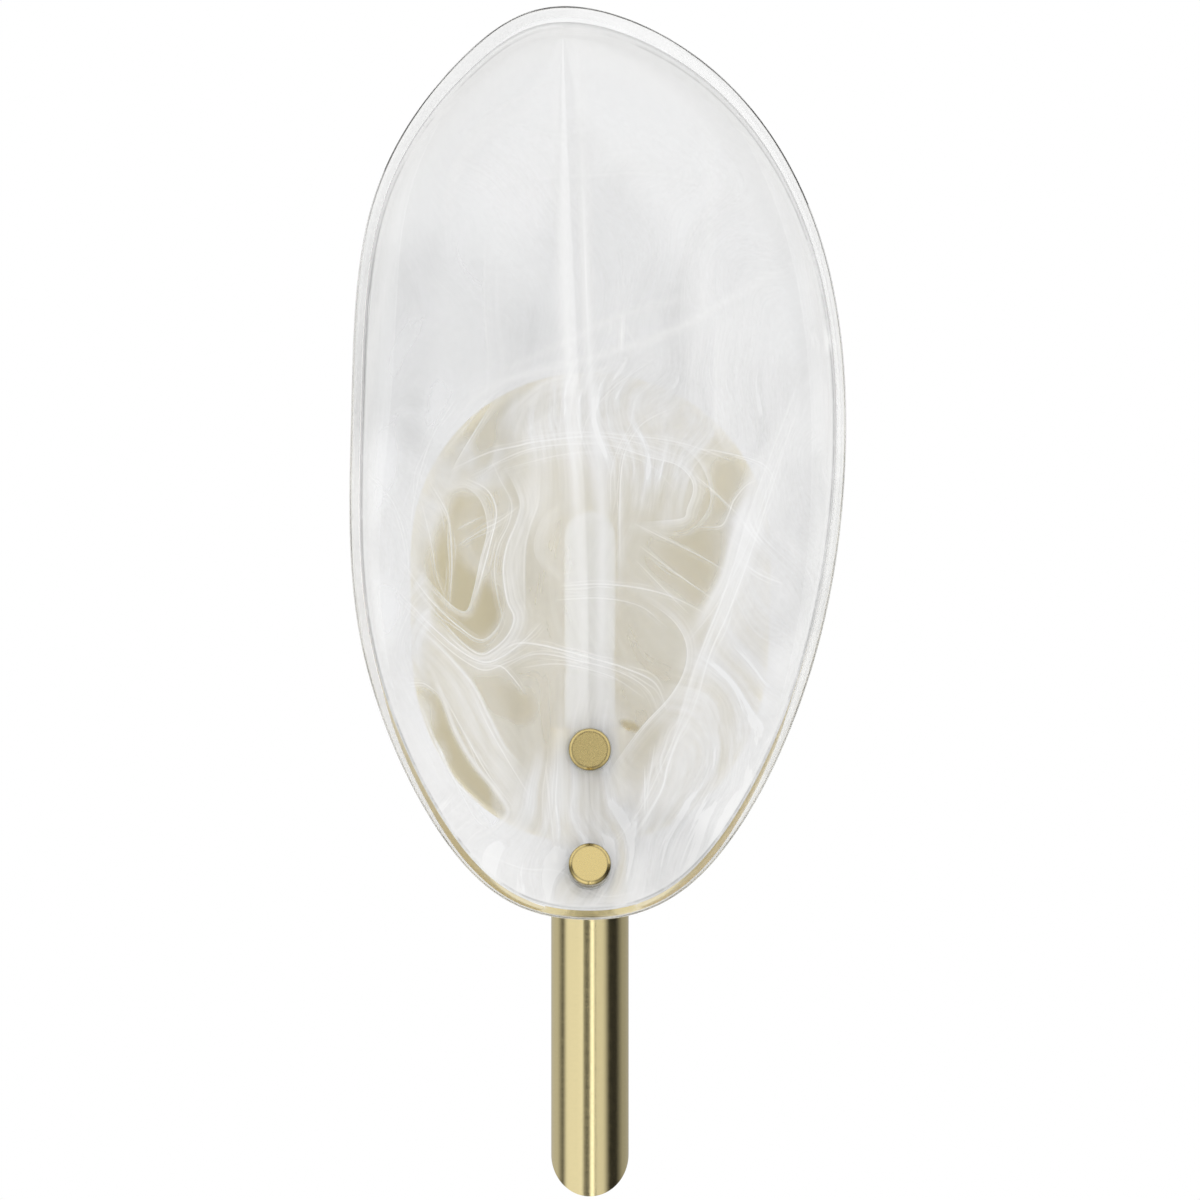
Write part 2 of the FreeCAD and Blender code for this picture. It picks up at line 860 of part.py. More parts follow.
class Dish:
    """The dish's two faces, as a reach from the wall over any x and z.

    The inner face is a bowl: it rises from its deepest point to the rim as a
    share of each ray's length, slowly at first and steeply near the rim, with
    a soft fold down the middle. The outer face is one glass thickness behind.
    """

    SAMPLES = 288
    LINEAR_FROM = 1.06
    SOFT = 0.6
    STEEP_POWER = 8

    def __init__(self):
        wide = size("shell_width")
        high = size("shell_height")
        self.low_point = size("shell_bowl_height")
        poles = [Vector(a * wide, 0, self.low_point + b * high) for a, b in EDGE_SHAPE]
        count = len(poles)
        self.edge = Part.BSplineCurve()
        knots = [float(i) for i in range(count + 1)]
        self.edge.buildFromPolesMultsKnots(poles, [1] * (count + 1), knots, True, 3)
        step = count / self.SAMPLES
        points = [self.edge.value(i * step) for i in range(self.SAMPLES)]
        self.bottom = min(p.z for p in points)
        self.top = max(p.z for p in points)
        self.left = min(p.x for p in points)
        self.right = max(p.x for p in points)
        rays = []
        for i, point in enumerate(points):
            tangent = self.edge.tangent(i * step)[0]
            inward = Vector(tangent.z, 0, -tangent.x).normalize()
            line = point + inward * self.band(point.z)
            away = line - Vector(0, 0, self.low_point)
            rays.append((math.atan2(away.z, away.x), away.Length, line.z))
        rays.sort()
        turn = 2 * math.pi
        before = (rays[-1][0] - turn,) + rays[-1][1:]
        after = (rays[0][0] + turn,) + rays[0][1:]
        self.rays = [before, *rays, after]
        self.angles = [ray[0] for ray in self.rays]

    def upness(self, z):
        """0 below the middle of the dish, growing to 1 at its top."""
        middle = (self.bottom + self.top) / 2
        return max(0.0, (z - middle) / (self.top - middle))

    def band(self, z):
        """Width of the ground rim, which is widest at the top."""
        side = size("rim_band")
        return side + (size("rim_band_top") - side) * self.upness(z) ** 3

    def rim(self, z):
        """Reach of the flat rim plane."""
        low = size("rim_reach_bottom")
        share = (z - self.bottom) / (self.top - self.bottom)
        return low + (size("rim_reach_top") - low) * share

    def thickness(self, z):
        """Glass thickness, which grows towards the top."""
        side = size("shell_thickness")
        return side + (size("shell_top_thickness") - side) * self.upness(z)

    def rise(self, share):
        """How much of the rim's height is reached at a share of the ray."""
        soft = self.SOFT
        steep = 1 - soft
        power = self.STEEP_POWER
        limit = min(share, self.LINEAR_FROM)
        slope = 2 * soft * limit + power * steep * limit ** (power - 1)
        return soft * limit**2 + steep * limit**power + slope * (share - limit)

    def fold(self, x, z):
        """Depth of the soft fold that runs down the middle of the dish."""
        start = size("fold_lean_start")
        above = (z - start + math.hypot(z - start, start)) / 2
        side = x + size("fold_lean") * above
        soft = size("fold_round")
        away = (math.hypot(side, soft) - soft) / size("fold_width")
        return size("fold_depth") * math.exp(-away)

    def inner(self, x, z):
        """Reach of the inner face."""
        base = size("shell_bowl_reach")
        up = z - self.low_point
        angle = math.atan2(up, x)
        i = min(max(bisect_left(self.angles, angle), 1), len(self.rays) - 1)
        a0, length0, z0 = self.rays[i - 1]
        a1, length1, z1 = self.rays[i]
        share = (angle - a0) / (a1 - a0)
        length = length0 + share * (length1 - length0)
        height = z0 + share * (z1 - z0)
        climb = (self.rim(height) - base) * self.rise(math.hypot(x, up) / length)
        return base + climb - self.fold(x, z)

    def outer(self, x, z):
        """Reach of the outer face, one thickness behind the inner face."""
        step = 0.25
        across = (self.inner(x + step, z) - self.inner(x - step, z)) / (2 * step)
        along = (self.inner(x, z + step) - self.inner(x, z - step)) / (2 * step)
        slope = math.sqrt(1 + across**2 + along**2)
        return self.inner(x, z) - self.thickness(z) * slope

    def before(self, reach):
        """Everything further from the wall than one of the two faces."""
        margin = size("shell_thickness")
        across = 36
        along = 56
        rows = []
        for i in range(across + 1):
            x = self.left - margin + (self.right - self.left + 2 * margin) * i / across
            row = []
            for k in range(along + 1):
                z = self.bottom - margin
                z += (self.top - self.bottom + 2 * margin) * k / along
                row.append(Vector(x, -reach(x, z), z))
            rows.append(row)
        surface = Part.BSplineSurface()
        surface.interpolate(rows)
        return surface.toShape().extrude(Vector(0, -2 * self.rim(self.top), 0))

    def solid(self):
        """The whole dish, with its outline, rim plane and two faces."""
        far = Vector(0, -2 * self.rim(self.top), 0)
        quarter = len(EDGE_SHAPE) / 4
        pieces = [self.edge.toShape(i * quarter, (i + 1) * quarter) for i in range(4)]
        blank = Part.Face(Part.Wire(pieces)).extrude(far)
        wide = size("shell_width")
        low = self.bottom - wide
        high = self.top + wide
        square = ((-wide, low), (wide, low), (wide, high), (-wide, high), (-wide, low))
        plane = Part.makePolygon([Vector(x, -self.rim(z), z) for x, z in square])
        beyond_rim = Part.Face(plane).extrude(far)
        glass = blank.cut(beyond_rim).common(self.before(self.outer))
        return glass.cut(self.before(self.inner))


FIXINGS = ("upper", "lower")
DISH = Dish()


def fixing_frame(name):
    """Where a stud's axis leaves the inner face of the glass.

    Its Z points out of the dish, square to the bowl, and tilts up a little.
    """
    height = size(f"{name}_fixing_height")
    step = 1.0
    rise = DISH.inner(0, height + step) - DISH.inner(0, height - step)
    tilt = math.atan2(-rise, 2 * step)
    axis = Vector(0, -math.cos(tilt), math.sin(tilt))
    turn = Rotation(Vector(1, 0, 0), 90 - math.degrees(tilt))
    assert turn.multVec(Vector(0, 0, 1)).isEqual(axis, 1e-6)
    return Placement(Vector(0, -DISH.inner(0, height), height), turn)


def washer_start(name):
    """Distance along the axis at which a flat washer first meets the glass."""
    frame = fixing_frame(name)
    radius = size("washer_radius")
    highest = 0.0
    probes = 36
    for i in range(probes):
        angle = 2 * math.pi * i / probes
        rim = frame.multVec(Vector(radius * math.cos(angle), radius * math.sin(angle), 0))
        away = -rim.y - DISH.inner(rim.x, rim.z)
        highest = max(highest, -away)
    return highest + size("moving_gap")


def back_face(name):
    """Distance along the axis, inwards, to the outer face of the glass."""
    frame = fixing_frame(name)
    low = 0.0
    high = 3 * size("shell_thickness")
    halvings = 40
    for _ in range(halvings):
        middle = (low + high) / 2
        point = frame.multVec(Vector(0, 0, -middle))
        if -point.y > DISH.outer(point.x, point.z):
            low = middle
        else:
            high = middle
    return low


def tube_face(name):
    """Distance along the axis, inwards, to the front of the tube."""
    frame = fixing_frame(name)
    run = frame.Rotation.multVec(Vector(0, 0, 1))
    front = size("tube_reach + tube_radius")
    return (-frame.Base.y - front) / -run.y


def stud_start(name):
    """Inner end of a stud, as a distance along its axis."""
    return -(tube_face(name) + size("stud_grip"))


def knob_start(name):
    """Back face of a knob, as a distance along its axis."""
    return washer_start(name) + size("washer_thickness")


def on_axis(thing, name, start):
    """Place a turned piece on a fixing's axis."""
    thing.Placement = fixing_frame(name).multiply(
        Placement(Vector(0, 0, start), Rotation())
    )
    return thing


def make_shell_glass():
    """Hand-formed glass dish with two holes for the fixings."""
    glass = DISH.solid()
    deep = 4 * size("shell_thickness")
    for name in FIXINGS:
        hole = Part.makeCylinder(size("glass_hole_radius"), deep)
        hole.Placement = fixing_frame(name).multiply(
            Placement(Vector(0, 0, -deep / 2), Rotation())
        )
        glass = glass.cut(hole)
    thing = DOC.addObject("Part::Feature", "shell_glass")
    thing.Shape = glass.Solids[0]
    thing.Placement = Placement()
    part(thing, "shell_glass")


# --- Fixings through the glass -------------------------------------------


def make_stud(name):
    """Threaded rod from the core to the knob."""
    stud = DOC.addObject("Part::Cylinder", f"{name}_stud")
    bind(stud, "Radius", "stud_radius")
    start = stud_start(name)
    stud.Height = knob_start(name) + size("stud_engagement") - start
    part(on_axis(stud, name, start), f"{name}_stud")


def make_seat(name):
    """Spacer between tube and glass, hollowed to the tube's round front."""
    gap = size("grommet_clearance")
    front = back_face(name) + gap
    start = -(tube_face(name) + size("seat_radius"))
    blank = DOC.addObject("Part::Cylinder", f"{name}_seat_blank")
    bind(blank, "Radius", "seat_radius")
    blank.Height = -front - start
    on_axis(blank, name, start)
    bore = DOC.addObject("Part::Cylinder", f"{name}_seat_bore")
    bind(bore, "Radius", "stud_radius + grommet_clearance")
    bore.Height = -front - start
    on_axis(bore, name, start)
    space = rod(
        f"{name}_seat_tube_space",
        "tube_radius",
        "seat_radius * 4",
        "0",
        "-tube_reach",
        f"{name}_fixing_height - seat_radius * 2",
    )
    part(less(f"{name}_seat_cut", blank, bore, space), f"{name}_seat")


def make_grommet(name):
    """Clear sleeve that keeps the stud off the edge of the glass."""
    start = -back_face(name)
    long = washer_start(name) - size("moving_gap") - start
    outer = "glass_hole_radius - grommet_clearance"
    sleeve = DOC.addObject("Part::Cylinder", f"{name}_grommet_blank")
    bind(sleeve, "Radius", outer)
    sleeve.Height = long
    on_axis(sleeve, name, start)
    bore = DOC.addObject("Part::Cylinder", f"{name}_grommet_bore")
    bind(bore, "Radius", f"{outer} - grommet_wall")
    bore.Height = long
    on_axis(bore, name, start)
    part(less(f"{name}_grommet_cut", sleeve, bore), f"{name}_grommet")


def make_washer(name):
    """Clear washer under the knob, a little wider than the knob."""
    bore = "stud_radius + washer_clearance"
    owner = turned(
        f"{name}_washer_turning",
        (
            (bore, "0"),
            ("washer_radius", "0"),
            ("washer_radius", "washer_thickness"),
            (bore, "washer_thickness"),
        ),
    )
    part(on_axis(owner, name, washer_start(name)), f"{name}_washer")


def make_knob(name):
    """Turned brass cap nut with a bevelled front edge and a blind thread."""
    bore = "stud_radius + knob_running_fit"
    depth = "stud_engagement + knob_bevel / 2"
    owner = turned(
        f"{name}_knob_turning",
        (
            (bore, "0"),
            ("knob_radius", "0"),
            ("knob_radius", "knob_height - knob_bevel"),
            ("knob_radius - knob_bevel", "knob_height"),
            ("0", "knob_height"),
            ("0", depth),
            (bore, depth),
        ),
    )
    part(on_axis(owner, name, knob_start(name)), f"{name}_knob")


# --- Lamp holder and lamp -------------------------------------------------


def holder_bottom():
    """The face of the cap that the holder stands on."""
    return "tube_top + cap_thickness"


def pole_sides():
    """The two poles of the holder, left and right of its middle."""
    return (("left", "-"), ("right", ""))


def make_holder():
    """Ceramic lamp holder, its two brass contacts and its two screws."""
    low = holder_bottom()
    y = "-tube_reach"
    blank = rod("holder_blank", "holder_radius", "holder_height", "0", y, low)
    tools = []
    contacts = []
    screws = []
    for name, side in pole_sides():
        x = f"{side}pin_spacing / 2"
        back = "-tube_reach + contact_depth / 2"
        tools.append(
            block(
                f"holder_way_{name}",
                "contact_width + contact_fit * 2",
                "contact_depth + contact_fit * 2",
                "holder_height",
                x,
                f"{back} + contact_fit",
                low,
            )
        )
        strip = block(
            f"contact_strip_{name}",
            "contact_width",
            "contact_depth",
            "contact_length",
            x,
            back,
            f"{low} + cap_thickness",
        )
        jaw = block(
            f"contact_jaw_{name}",
            "contact_width",
            "pin_thickness + contact_fit * 2",
            "pin_length + contact_length",
            x,
            "-tube_reach + pin_thickness / 2 + contact_fit",
            f"{low} + holder_height - pin_length - contact_depth / 2",
        )
        contacts.append(less(f"contact_{name}", strip, jaw))
        sign = "+" if side == "" else "-"
        at = f"-tube_reach {sign} holder_screw_spacing / 2"
        sink = "holder_screw_head / 2"
        tools.append(
            rod(
                f"holder_screw_way_{name}",
                "holder_screw_radius + thread_clearance",
                "holder_height",
                "0",
                at,
                low,
            )
        )
        tools.append(
            rod(
                f"holder_screw_sink_{name}",
                "holder_screw_head + screw_clearance",
                f"{sink} + screw_clearance",
                "0",
                at,
                f"{low} + holder_height - {sink} - screw_clearance",
            )
        )
        long = f"holder_height + cap_thickness + cap_spigot_length - screw_clearance - {sink}"
        shank = rod(
            f"holder_screw_shank_{name}",
            "holder_screw_radius",
            long,
            "0",
            at,
            "tube_top - cap_spigot_length",
        )
        head = rod(
            f"holder_screw_head_{name}",
            "holder_screw_head",
            sink,
            "0",
            at,
            f"{low} + holder_height - {sink} - screw_clearance",
        )
        screws.append(joined(f"holder_screw_{name}", shank, head))
    part(less("holder_body", blank, *tools), "holder_body")
    part(group("holder_contacts", *contacts), "holder_contacts")
    part(group("holder_screws", *screws), "holder_screws")


def lamp_bottom():
    """The face of the holder that the lamp stands on."""
    return f"{holder_bottom()} + holder_height"


def make_lamp():
    """Push-in lamp: base, two pins, opal envelope and the board inside it."""
    low = lamp_bottom()
    y = "-tube_reach"
    part(
        rod("lamp_base", "lamp_base_radius", "lamp_base_height", "0", y, low),
        "lamp_base",
    )
    pins = []
    for name, side in pole_sides():
        pins.append(
            block(
                f"lamp_pin_{name}",
                "pin_width",
                "pin_thickness",
                "pin_length",
                f"{side}pin_spacing / 2",
                "-tube_reach + pin_thickness / 2",
                f"{low} - pin_length",
            )
        )
    part(group("lamp_pins", *pins), "lamp_pins")
    start = f"({low} + lamp_base_height)"
    tall = "lamp_height - lamp_base_height - lamp_radius"
    outer = rod("envelope_wall", "lamp_radius", tall, "0", y, start)
    dome = DOC.addObject("Part::Sphere", "envelope_dome")
    bind(dome, "Radius", "lamp_radius")
    place(dome, "0", y, f"{start} + {tall}")
    inner = rod("envelope_space", "lamp_radius - lamp_wall", tall, "0", y, start)
    inner_dome = DOC.addObject("Part::Sphere", "envelope_dome_space")
    bind(inner_dome, "Radius", "lamp_radius - lamp_wall")
    place(inner_dome, "0", y, f"{start} + {tall}")
    whole = joined("envelope_blank", outer, dome)
    part(less("lamp_envelope_cut", whole, inner, inner_dome), "lamp_envelope")
    part(
        block(
            "lamp_board",
            "board_width",
            "board_thickness",
            "board_height",
            "0",
            "-tube_reach + board_thickness / 2",
            start,
        ),
        "lamp_board",
    )


# --- Leads ----------------------------------------------------------------


def rounded_route(points, radii):
    """Straight runs through points, joined by tangent arcs of given radii."""
    edges = []
    start = points[0]
    for i in range(1, len(points) - 1):
        before = (points[i - 1] - points[i]).normalize()
        after = (points[i + 1] - points[i]).normalize()
        half = before.getAngle(after) / 2
        cut = radii[i - 1] / math.tan(half)
        enter = points[i] + before * cut
        leave = points[i] + after * cut
        middle = (before + after).normalize()
        centre = points[i] + middle * (radii[i - 1] / math.sin(half))
        crown = centre - middle * radii[i - 1]
        edges.append(Part.makeLine(start, enter))
        edges.append(Part.Arc(enter, crown, leave).toShape())
        start = leave
    edges.append(Part.makeLine(start, points[-1]))
    return Part.Wire(edges)


def make_lead(label, points, radii):
    """An insulated lead along a rounded route."""
    route = rounded_route(points, radii)
    radius = size("lead_radius")
    ring = Part.makeCircle(radius, points[0], points[1] - points[0])
    lead = route.makePipeShell([Part.Wire(ring)], True, False)
    wanted = math.pi * radius**2 * route.Length
    print(label, "length", round(route.Length, 1), "radii", radii)
    print(label, "volume ratio", round(lead.Volume / wanted, 4))
    thing = DOC.addObject("Part::Feature", label)
    thing.Shape = lead
    thing.Placement = Placement()
    part(thing, label)


def make_leads():
    """Live and neutral to the lamp holder, and earth to the arm."""
    start = size("block_bottom")
    reach = -size("lead_reach")
    tube = -size("tube_reach")
    cross = size("arm_centre")
    end = size(f"{holder_bottom()} + cap_thickness")
    bend = size("lead_bend_radius")
    turn = size("lead_turn_radius")
    sweep = 2 * bend  # the wide double bend from the clamp's line to the pole's
    inside = size("block_bottom + block_height * clamp_share * 2")
    for label, side in (("live_lead", 1), ("neutral_lead", -1)):
        x = side * size("pole_offset")
        wide = side * size("clamp_offset")
        points = [
            Vector(wide, reach, inside),
            Vector(wide, reach, start - bend),
            Vector(x, reach, start - sweep),
            Vector(x, reach, cross),
            Vector(x, tube, cross),
            Vector(x, tube, end),
        ]
        make_lead(label, points, [sweep, sweep, bend, turn])
    radius = size("lead_radius")
    low = size("strap_thickness + tag_thickness") + radius
    seat = size("plate_reach - plate_wall - tag_thickness") - radius
    first = size("earth_screw_height - earth_screw_head_radius")
    last = size("arm_centre + arm_screw_spacing / 2 + tag_radius")
    straight = 6 * radius  # the straight stretch next to each tag
    points = [
        Vector(0, -low, first),
        Vector(0, -low, first - straight),
        Vector(0, -seat, last + straight),
        Vector(0, -seat, last),
    ]
    make_lead("earth_lead", points, [straight, straight])


# --- Assembly -------------------------------------------------------------


def check_document():
    """Stop if anything in the document failed or a sub-part isn't sound."""
    DOC.recompute()
    for thing in DOC.Objects:
        for word in ("Invalid", "Error"):
            if word in thing.State:
                raise RuntimeError(f"{thing.Label} is {thing.State}")
    for thing in PARTS:
        shape = thing.Shape
        if shape.isNull() or not shape.isValid() or not shape.Solids:
            raise RuntimeError(f"{thing.Label} has no sound solid")


def write_parts():
    """Write each sub-part to its own file."""
    os.makedirs("parts", exist_ok=True)
    for thing in PARTS:
        thing.Shape.exportStep(f"parts/{thing.Label}.step")
        volume = sum(solid.Volume for solid in thing.Shape.Solids)
        print(thing.Label, len(thing.Shape.Solids), round(volume, 1))


make_back_plate()
make_mounting_strap()
make_plate_screws()
make_earth_terminal()
make_terminal_block()
make_arm()
make_tube()
make_tube_end_plate()
make_tube_cap()
make_tube_core()
make_arm_screws()
make_shell_glass()
for fixing in FIXINGS:
    make_stud(fixing)
    make_seat(fixing)
    make_grommet(fixing)
    make_washer(fixing)
    make_knob(fixing)
make_holder()
make_lamp()
make_leads()
check_document()
write_parts()
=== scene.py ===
import math

import bpy
import numpy as np
from mathutils import Matrix, Vector


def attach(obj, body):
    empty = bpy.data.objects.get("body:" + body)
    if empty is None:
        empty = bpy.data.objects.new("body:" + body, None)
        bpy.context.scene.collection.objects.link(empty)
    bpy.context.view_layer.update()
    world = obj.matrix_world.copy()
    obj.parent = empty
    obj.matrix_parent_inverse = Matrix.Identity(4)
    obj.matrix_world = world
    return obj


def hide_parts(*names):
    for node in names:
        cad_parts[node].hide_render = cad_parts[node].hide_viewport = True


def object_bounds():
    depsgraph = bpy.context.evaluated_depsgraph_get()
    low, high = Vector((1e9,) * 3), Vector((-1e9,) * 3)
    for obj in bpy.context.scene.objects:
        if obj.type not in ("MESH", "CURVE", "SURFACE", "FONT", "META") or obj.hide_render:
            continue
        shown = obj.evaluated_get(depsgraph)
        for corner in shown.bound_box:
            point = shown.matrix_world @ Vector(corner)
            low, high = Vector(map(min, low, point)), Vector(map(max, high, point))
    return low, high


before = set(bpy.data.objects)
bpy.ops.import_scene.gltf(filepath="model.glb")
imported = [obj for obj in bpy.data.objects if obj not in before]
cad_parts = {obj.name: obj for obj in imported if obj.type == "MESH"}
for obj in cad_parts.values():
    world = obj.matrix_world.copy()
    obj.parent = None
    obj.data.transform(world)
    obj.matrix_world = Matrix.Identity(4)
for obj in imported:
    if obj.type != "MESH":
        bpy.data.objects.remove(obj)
cad_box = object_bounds()

# --- Camera ---
# The light is seen straight from the front, from about two metres, as in a
# catalogue picture. Metres: +X right, +Z up, and the wall is the plane Y = 0.

PICTURE = 1200  # pixels along the picture's side
CAMERA_AWAY = 1.9  # from the wall to the lens
AIM_X, AIM_Z = 0.0033, 0.0026  # what lies in the picture's middle
TUBE_AXIS = 0.0527  # from the wall to the tube's axis
PIXEL_AT_TUBE = 0.0003277  # metres that one pixel covers at the tube
SENSOR = 36.0  # millimetres

camera = bpy.data.objects.new("camera", bpy.data.cameras.new("camera"))
bpy.context.scene.collection.objects.link(camera)
camera.location = (AIM_X, -CAMERA_AWAY, AIM_Z)
camera.rotation_euler = (math.radians(90), 0, 0)
camera.data.sensor_width = SENSOR
camera.data.lens = SENSOR * (CAMERA_AWAY - TUBE_AXIS) / (PICTURE * PIXEL_AT_TUBE)
bpy.context.scene.camera = camera
bpy.context.scene.view_settings.view_transform = "Standard"


# --- Nodes and meshes ---
# Helpers for every section below: one step of a node tree each, and new mesh
# objects with the values that their points keep.

def fill(tree, made, values):
    """Sets a node's inputs: a socket is linked, anything else is a constant."""
    for name, value in values.items():
        if isinstance(value, bpy.types.NodeSocket):
            tree.links.new(value, made.inputs[name])
        else:
            made.inputs[name].default_value = value
    return made


def node(tree, kind, values=None, **props):
    """A new node with its properties and inputs set."""
    made = tree.nodes.new(kind)
    for name, value in props.items():
        setattr(made, name, value)
    return fill(tree, made, values or {})


def material(name):
    """A new node material: (material, its node tree, its Principled shader)."""
    made = bpy.data.materials.new(name)
    made.use_nodes = True
    return made, made.node_tree, made.node_tree.nodes["Principled BSDF"]


def mask_group(name, inputs, outputs):
    """A new node group with (name, kind) inputs and number outputs: (group, sockets in, sockets out)."""
    group = bpy.data.node_groups.new(name, "ShaderNodeTree")
    for socket, kind in inputs:
        group.interface.new_socket(socket, in_out="INPUT", socket_type=kind)
    for socket in outputs:
        group.interface.new_socket(socket, in_out="OUTPUT", socket_type="NodeSocketFloat")
    return group, group.nodes.new("NodeGroupInput").outputs, group.nodes.new("NodeGroupOutput").inputs


def maths(tree, operation, a, b=0.0, c=0.0, clamp=False):
    """One step of arithmetic on sockets or numbers."""
    return node(tree, "ShaderNodeMath", {0: a, 1: b, 2: c}, operation=operation, use_clamp=clamp).outputs[0]


def product(tree, *factors):
    """All factors multiplied, from the first on."""
    result = factors[0]
    for factor in factors[1:]:
        result = maths(tree, "MULTIPLY", result, factor)
    return result


def bell(tree, off, narrow=1.0):
    """exp(-narrow off^2): 1 in the middle, and falling off to both sides."""
    return maths(tree, "EXPONENT", product(tree, product(tree, off, off), -narrow))


def vectors(tree, operation, a, b):
    """One step of arithmetic on vectors."""
    return node(tree, "ShaderNodeVectorMath", {0: a, 1: b}, operation=operation).outputs[0]


def ramp(tree, value, start, end, low=0.0, high=1.0, smooth=False):
    """Runs from low to high while the value runs from start to end."""
    return node(tree, "ShaderNodeMapRange", {0: value, 1: start, 2: end, 3: low, 4: high},
                interpolation_type="SMOOTHSTEP" if smooth else "LINEAR").outputs[0]


def between(tree, share, a, b):
    """Between the numbers a and b by a share."""
    return node(tree, "ShaderNodeMix", {0: share, 2: a, 3: b}).outputs[0]


def colour_between(tree, share, a, b, blend_type="MIX"):
    """Between the colours a and b by a share."""
    return node(tree, "ShaderNodeMix", {0: share, 6: a, 7: b}, data_type="RGBA", blend_type=blend_type).outputs[2]


def shader_between(tree, test, no, yes):
    """One shader where the test is 0 and the other where it is 1."""
    return node(tree, "ShaderNodeMixShader", {0: test, 1: no, 2: yes}).outputs[0]


def noise(tree, place, scale, detail, output="Fac", **more):
    """Soft noise over a place."""
    return node(tree, "ShaderNodeTexNoise",
                {"Vector": place, "Scale": scale, "Detail": detail, **more}).outputs[output]


def place_on(tree):
    """Where on the object a point lies, in metres."""
    return node(tree, "ShaderNodeTexCoord").outputs["Object"]


def kept(tree, name, output="Fac"):
    """What keep_value left at each point of the mesh."""
    return node(tree, "ShaderNodeAttribute", attribute_name=name).outputs[output]


def keep_value(target, name, values):
    """Leaves a number or a vector at each point of a mesh, for its material to read."""
    kind, key = ("FLOAT", "value") if values.ndim == 1 else ("FLOAT_VECTOR", "vector")
    held = target.data.attributes.new(name, kind, "POINT")
    held.data.foreach_set(key, values.astype(np.float32).ravel())


def points_of(target):
    """A mesh's points as an array."""
    points = np.empty(len(target.data.vertices) * 3, dtype=np.float32)
    target.data.vertices.foreach_get("co", points)
    return points.reshape(-1, 3).astype(float)


def new_object(name, points, faces):
    """A mesh object at the origin."""
    mesh = bpy.data.meshes.new(name)
    mesh.from_pydata(points, [], faces)
    mesh.update()
    made = bpy.data.objects.new(name, mesh)
    bpy.context.scene.collection.objects.link(made)
    return made


def dress(mesh, finish):
    """Gives a mesh one finish."""
    mesh.materials.clear()
    mesh.materials.append(finish)


# --- Studio ---
# A white room with soft boxes at both sides of the camera and dark gaps
# between them, which draw the bright and dark streaks on the brass and the
# thin dark lines in the edge of the glass. The pale floor lets glossy rays
# past, so that brass and glass mirror the room and not the floor's border.

METAL_GAP = 0.028  # brightness between the soft boxes, as the brass shows it
PLAIN_LIGHT = 1.04  # even light on everything matt
SOFT_BOXES = (  # from, to, brightness, fade at each end: degrees from the front, + is right
    (-79.0, -19.5, 1.00, 8.0, 4.0),
    (-30.0, 8.0, 0.13, 6.0, 3.0),
    (2.0, 13.0, 1.80, 1.5, 2.0),
    (17.0, 49.0, 0.84, 2.0, 9.0),
)
# Ramps over the direction in which a ray leaves: from, to, and the value at each.
GLASS_GAP = (0.45, 0.70, 0.50, 0.88)  # brightness between the boxes, as the glass shows it, over X
TO_THE_SIDE = (0.15, 0.5)  # forward slope where the glass goes from white at its sides to that gap
BOX_TOP = (0.04, 0.14, 1.0, 0.55)  # the boxes dim upwards, for the brass
BOX_FOOT = (-0.45, -0.22, 0.3, 1.0)  # and downwards, for the glass
OVERHEAD = (0.17, 0.34, 0.0, 1.30)  # the box above
UNDERSIDE = (-0.35, -0.75, 0.0, 0.34)  # light from below
BEHIND = (-0.10, 0.35, 0.0, 1.0)  # where the wall behind takes over from the boxes, over Y
BACK_WALL = (-0.12, 0.52)  # its brightness: change over X, and level

world = bpy.data.worlds.new("studio")
bpy.context.scene.world = world
world.use_nodes = True
world.cycles.sampling_method = "NONE"
air = world.node_tree
air.nodes.clear()
look = node(air, "ShaderNodeTexCoord").outputs["Generated"]
to_x, to_y, to_z = node(air, "ShaderNodeSeparateXYZ", {0: look}).outputs
front = product(air, to_y, -1.0)
bearing = product(air, maths(air, "ARCTAN2", to_x, front), 180 / math.pi)
paths = node(air, "ShaderNodeLightPath").outputs

boxes = 0.0
for start, end, bright, soft_start, soft_end in SOFT_BOXES:
    rise = ramp(air, bearing, start - soft_start, start + soft_start)
    fall = ramp(air, bearing, end - soft_end, end + soft_end, 1.0, 0.0)
    boxes = maths(air, "ADD", product(air, rise, fall, bright), boxes)

metal_room = maths(air, "MAXIMUM", product(air, boxes, ramp(air, to_z, *BOX_TOP)), ramp(air, to_z, *OVERHEAD))
metal_room = maths(air, "ADD", metal_room, METAL_GAP)
back_wall = maths(air, "MULTIPLY_ADD", to_x, *BACK_WALL)
metal_room = between(air, ramp(air, to_y, *BEHIND), metal_room, back_wall)
metal_room = maths(air, "MAXIMUM", metal_room, ramp(air, to_z, *UNDERSIDE))

glass_gap = ramp(air, front, *TO_THE_SIDE, 1.0, ramp(air, to_x, *GLASS_GAP))
glass_room = maths(air, "MAXIMUM", product(air, boxes, ramp(air, to_z, *BOX_FOOT)), glass_gap)

# Glossy rays see the metal room, unless the glass has bent them one to three times. Others see the glass room.
mirrored = maths(air, "GREATER_THAN", paths["Glossy Depth"], 0.5)
in_glass = maths(air, "COMPARE", paths["Transmission Depth"], 2.0, 1.1)
off_metal = product(air, mirrored, maths(air, "SUBTRACT", 1.0, in_glass))
room = between(air, off_metal, glass_room, metal_room)
room = between(air, maths(air, "GREATER_THAN", paths["Diffuse Depth"], 0.5), room, PLAIN_LIGHT)
room = between(air, paths["Is Camera Ray"], room, 1.0)
glow = node(air, "ShaderNodeBackground", {"Color": (1.0, 1.0, 1.0, 1.0), "Strength": room})
node(air, "ShaderNodeOutputWorld", {0: glow.outputs[0]})

FLOOR_SIZE = 3.0
FLOOR_DROP = 0.27  # below the tube's end

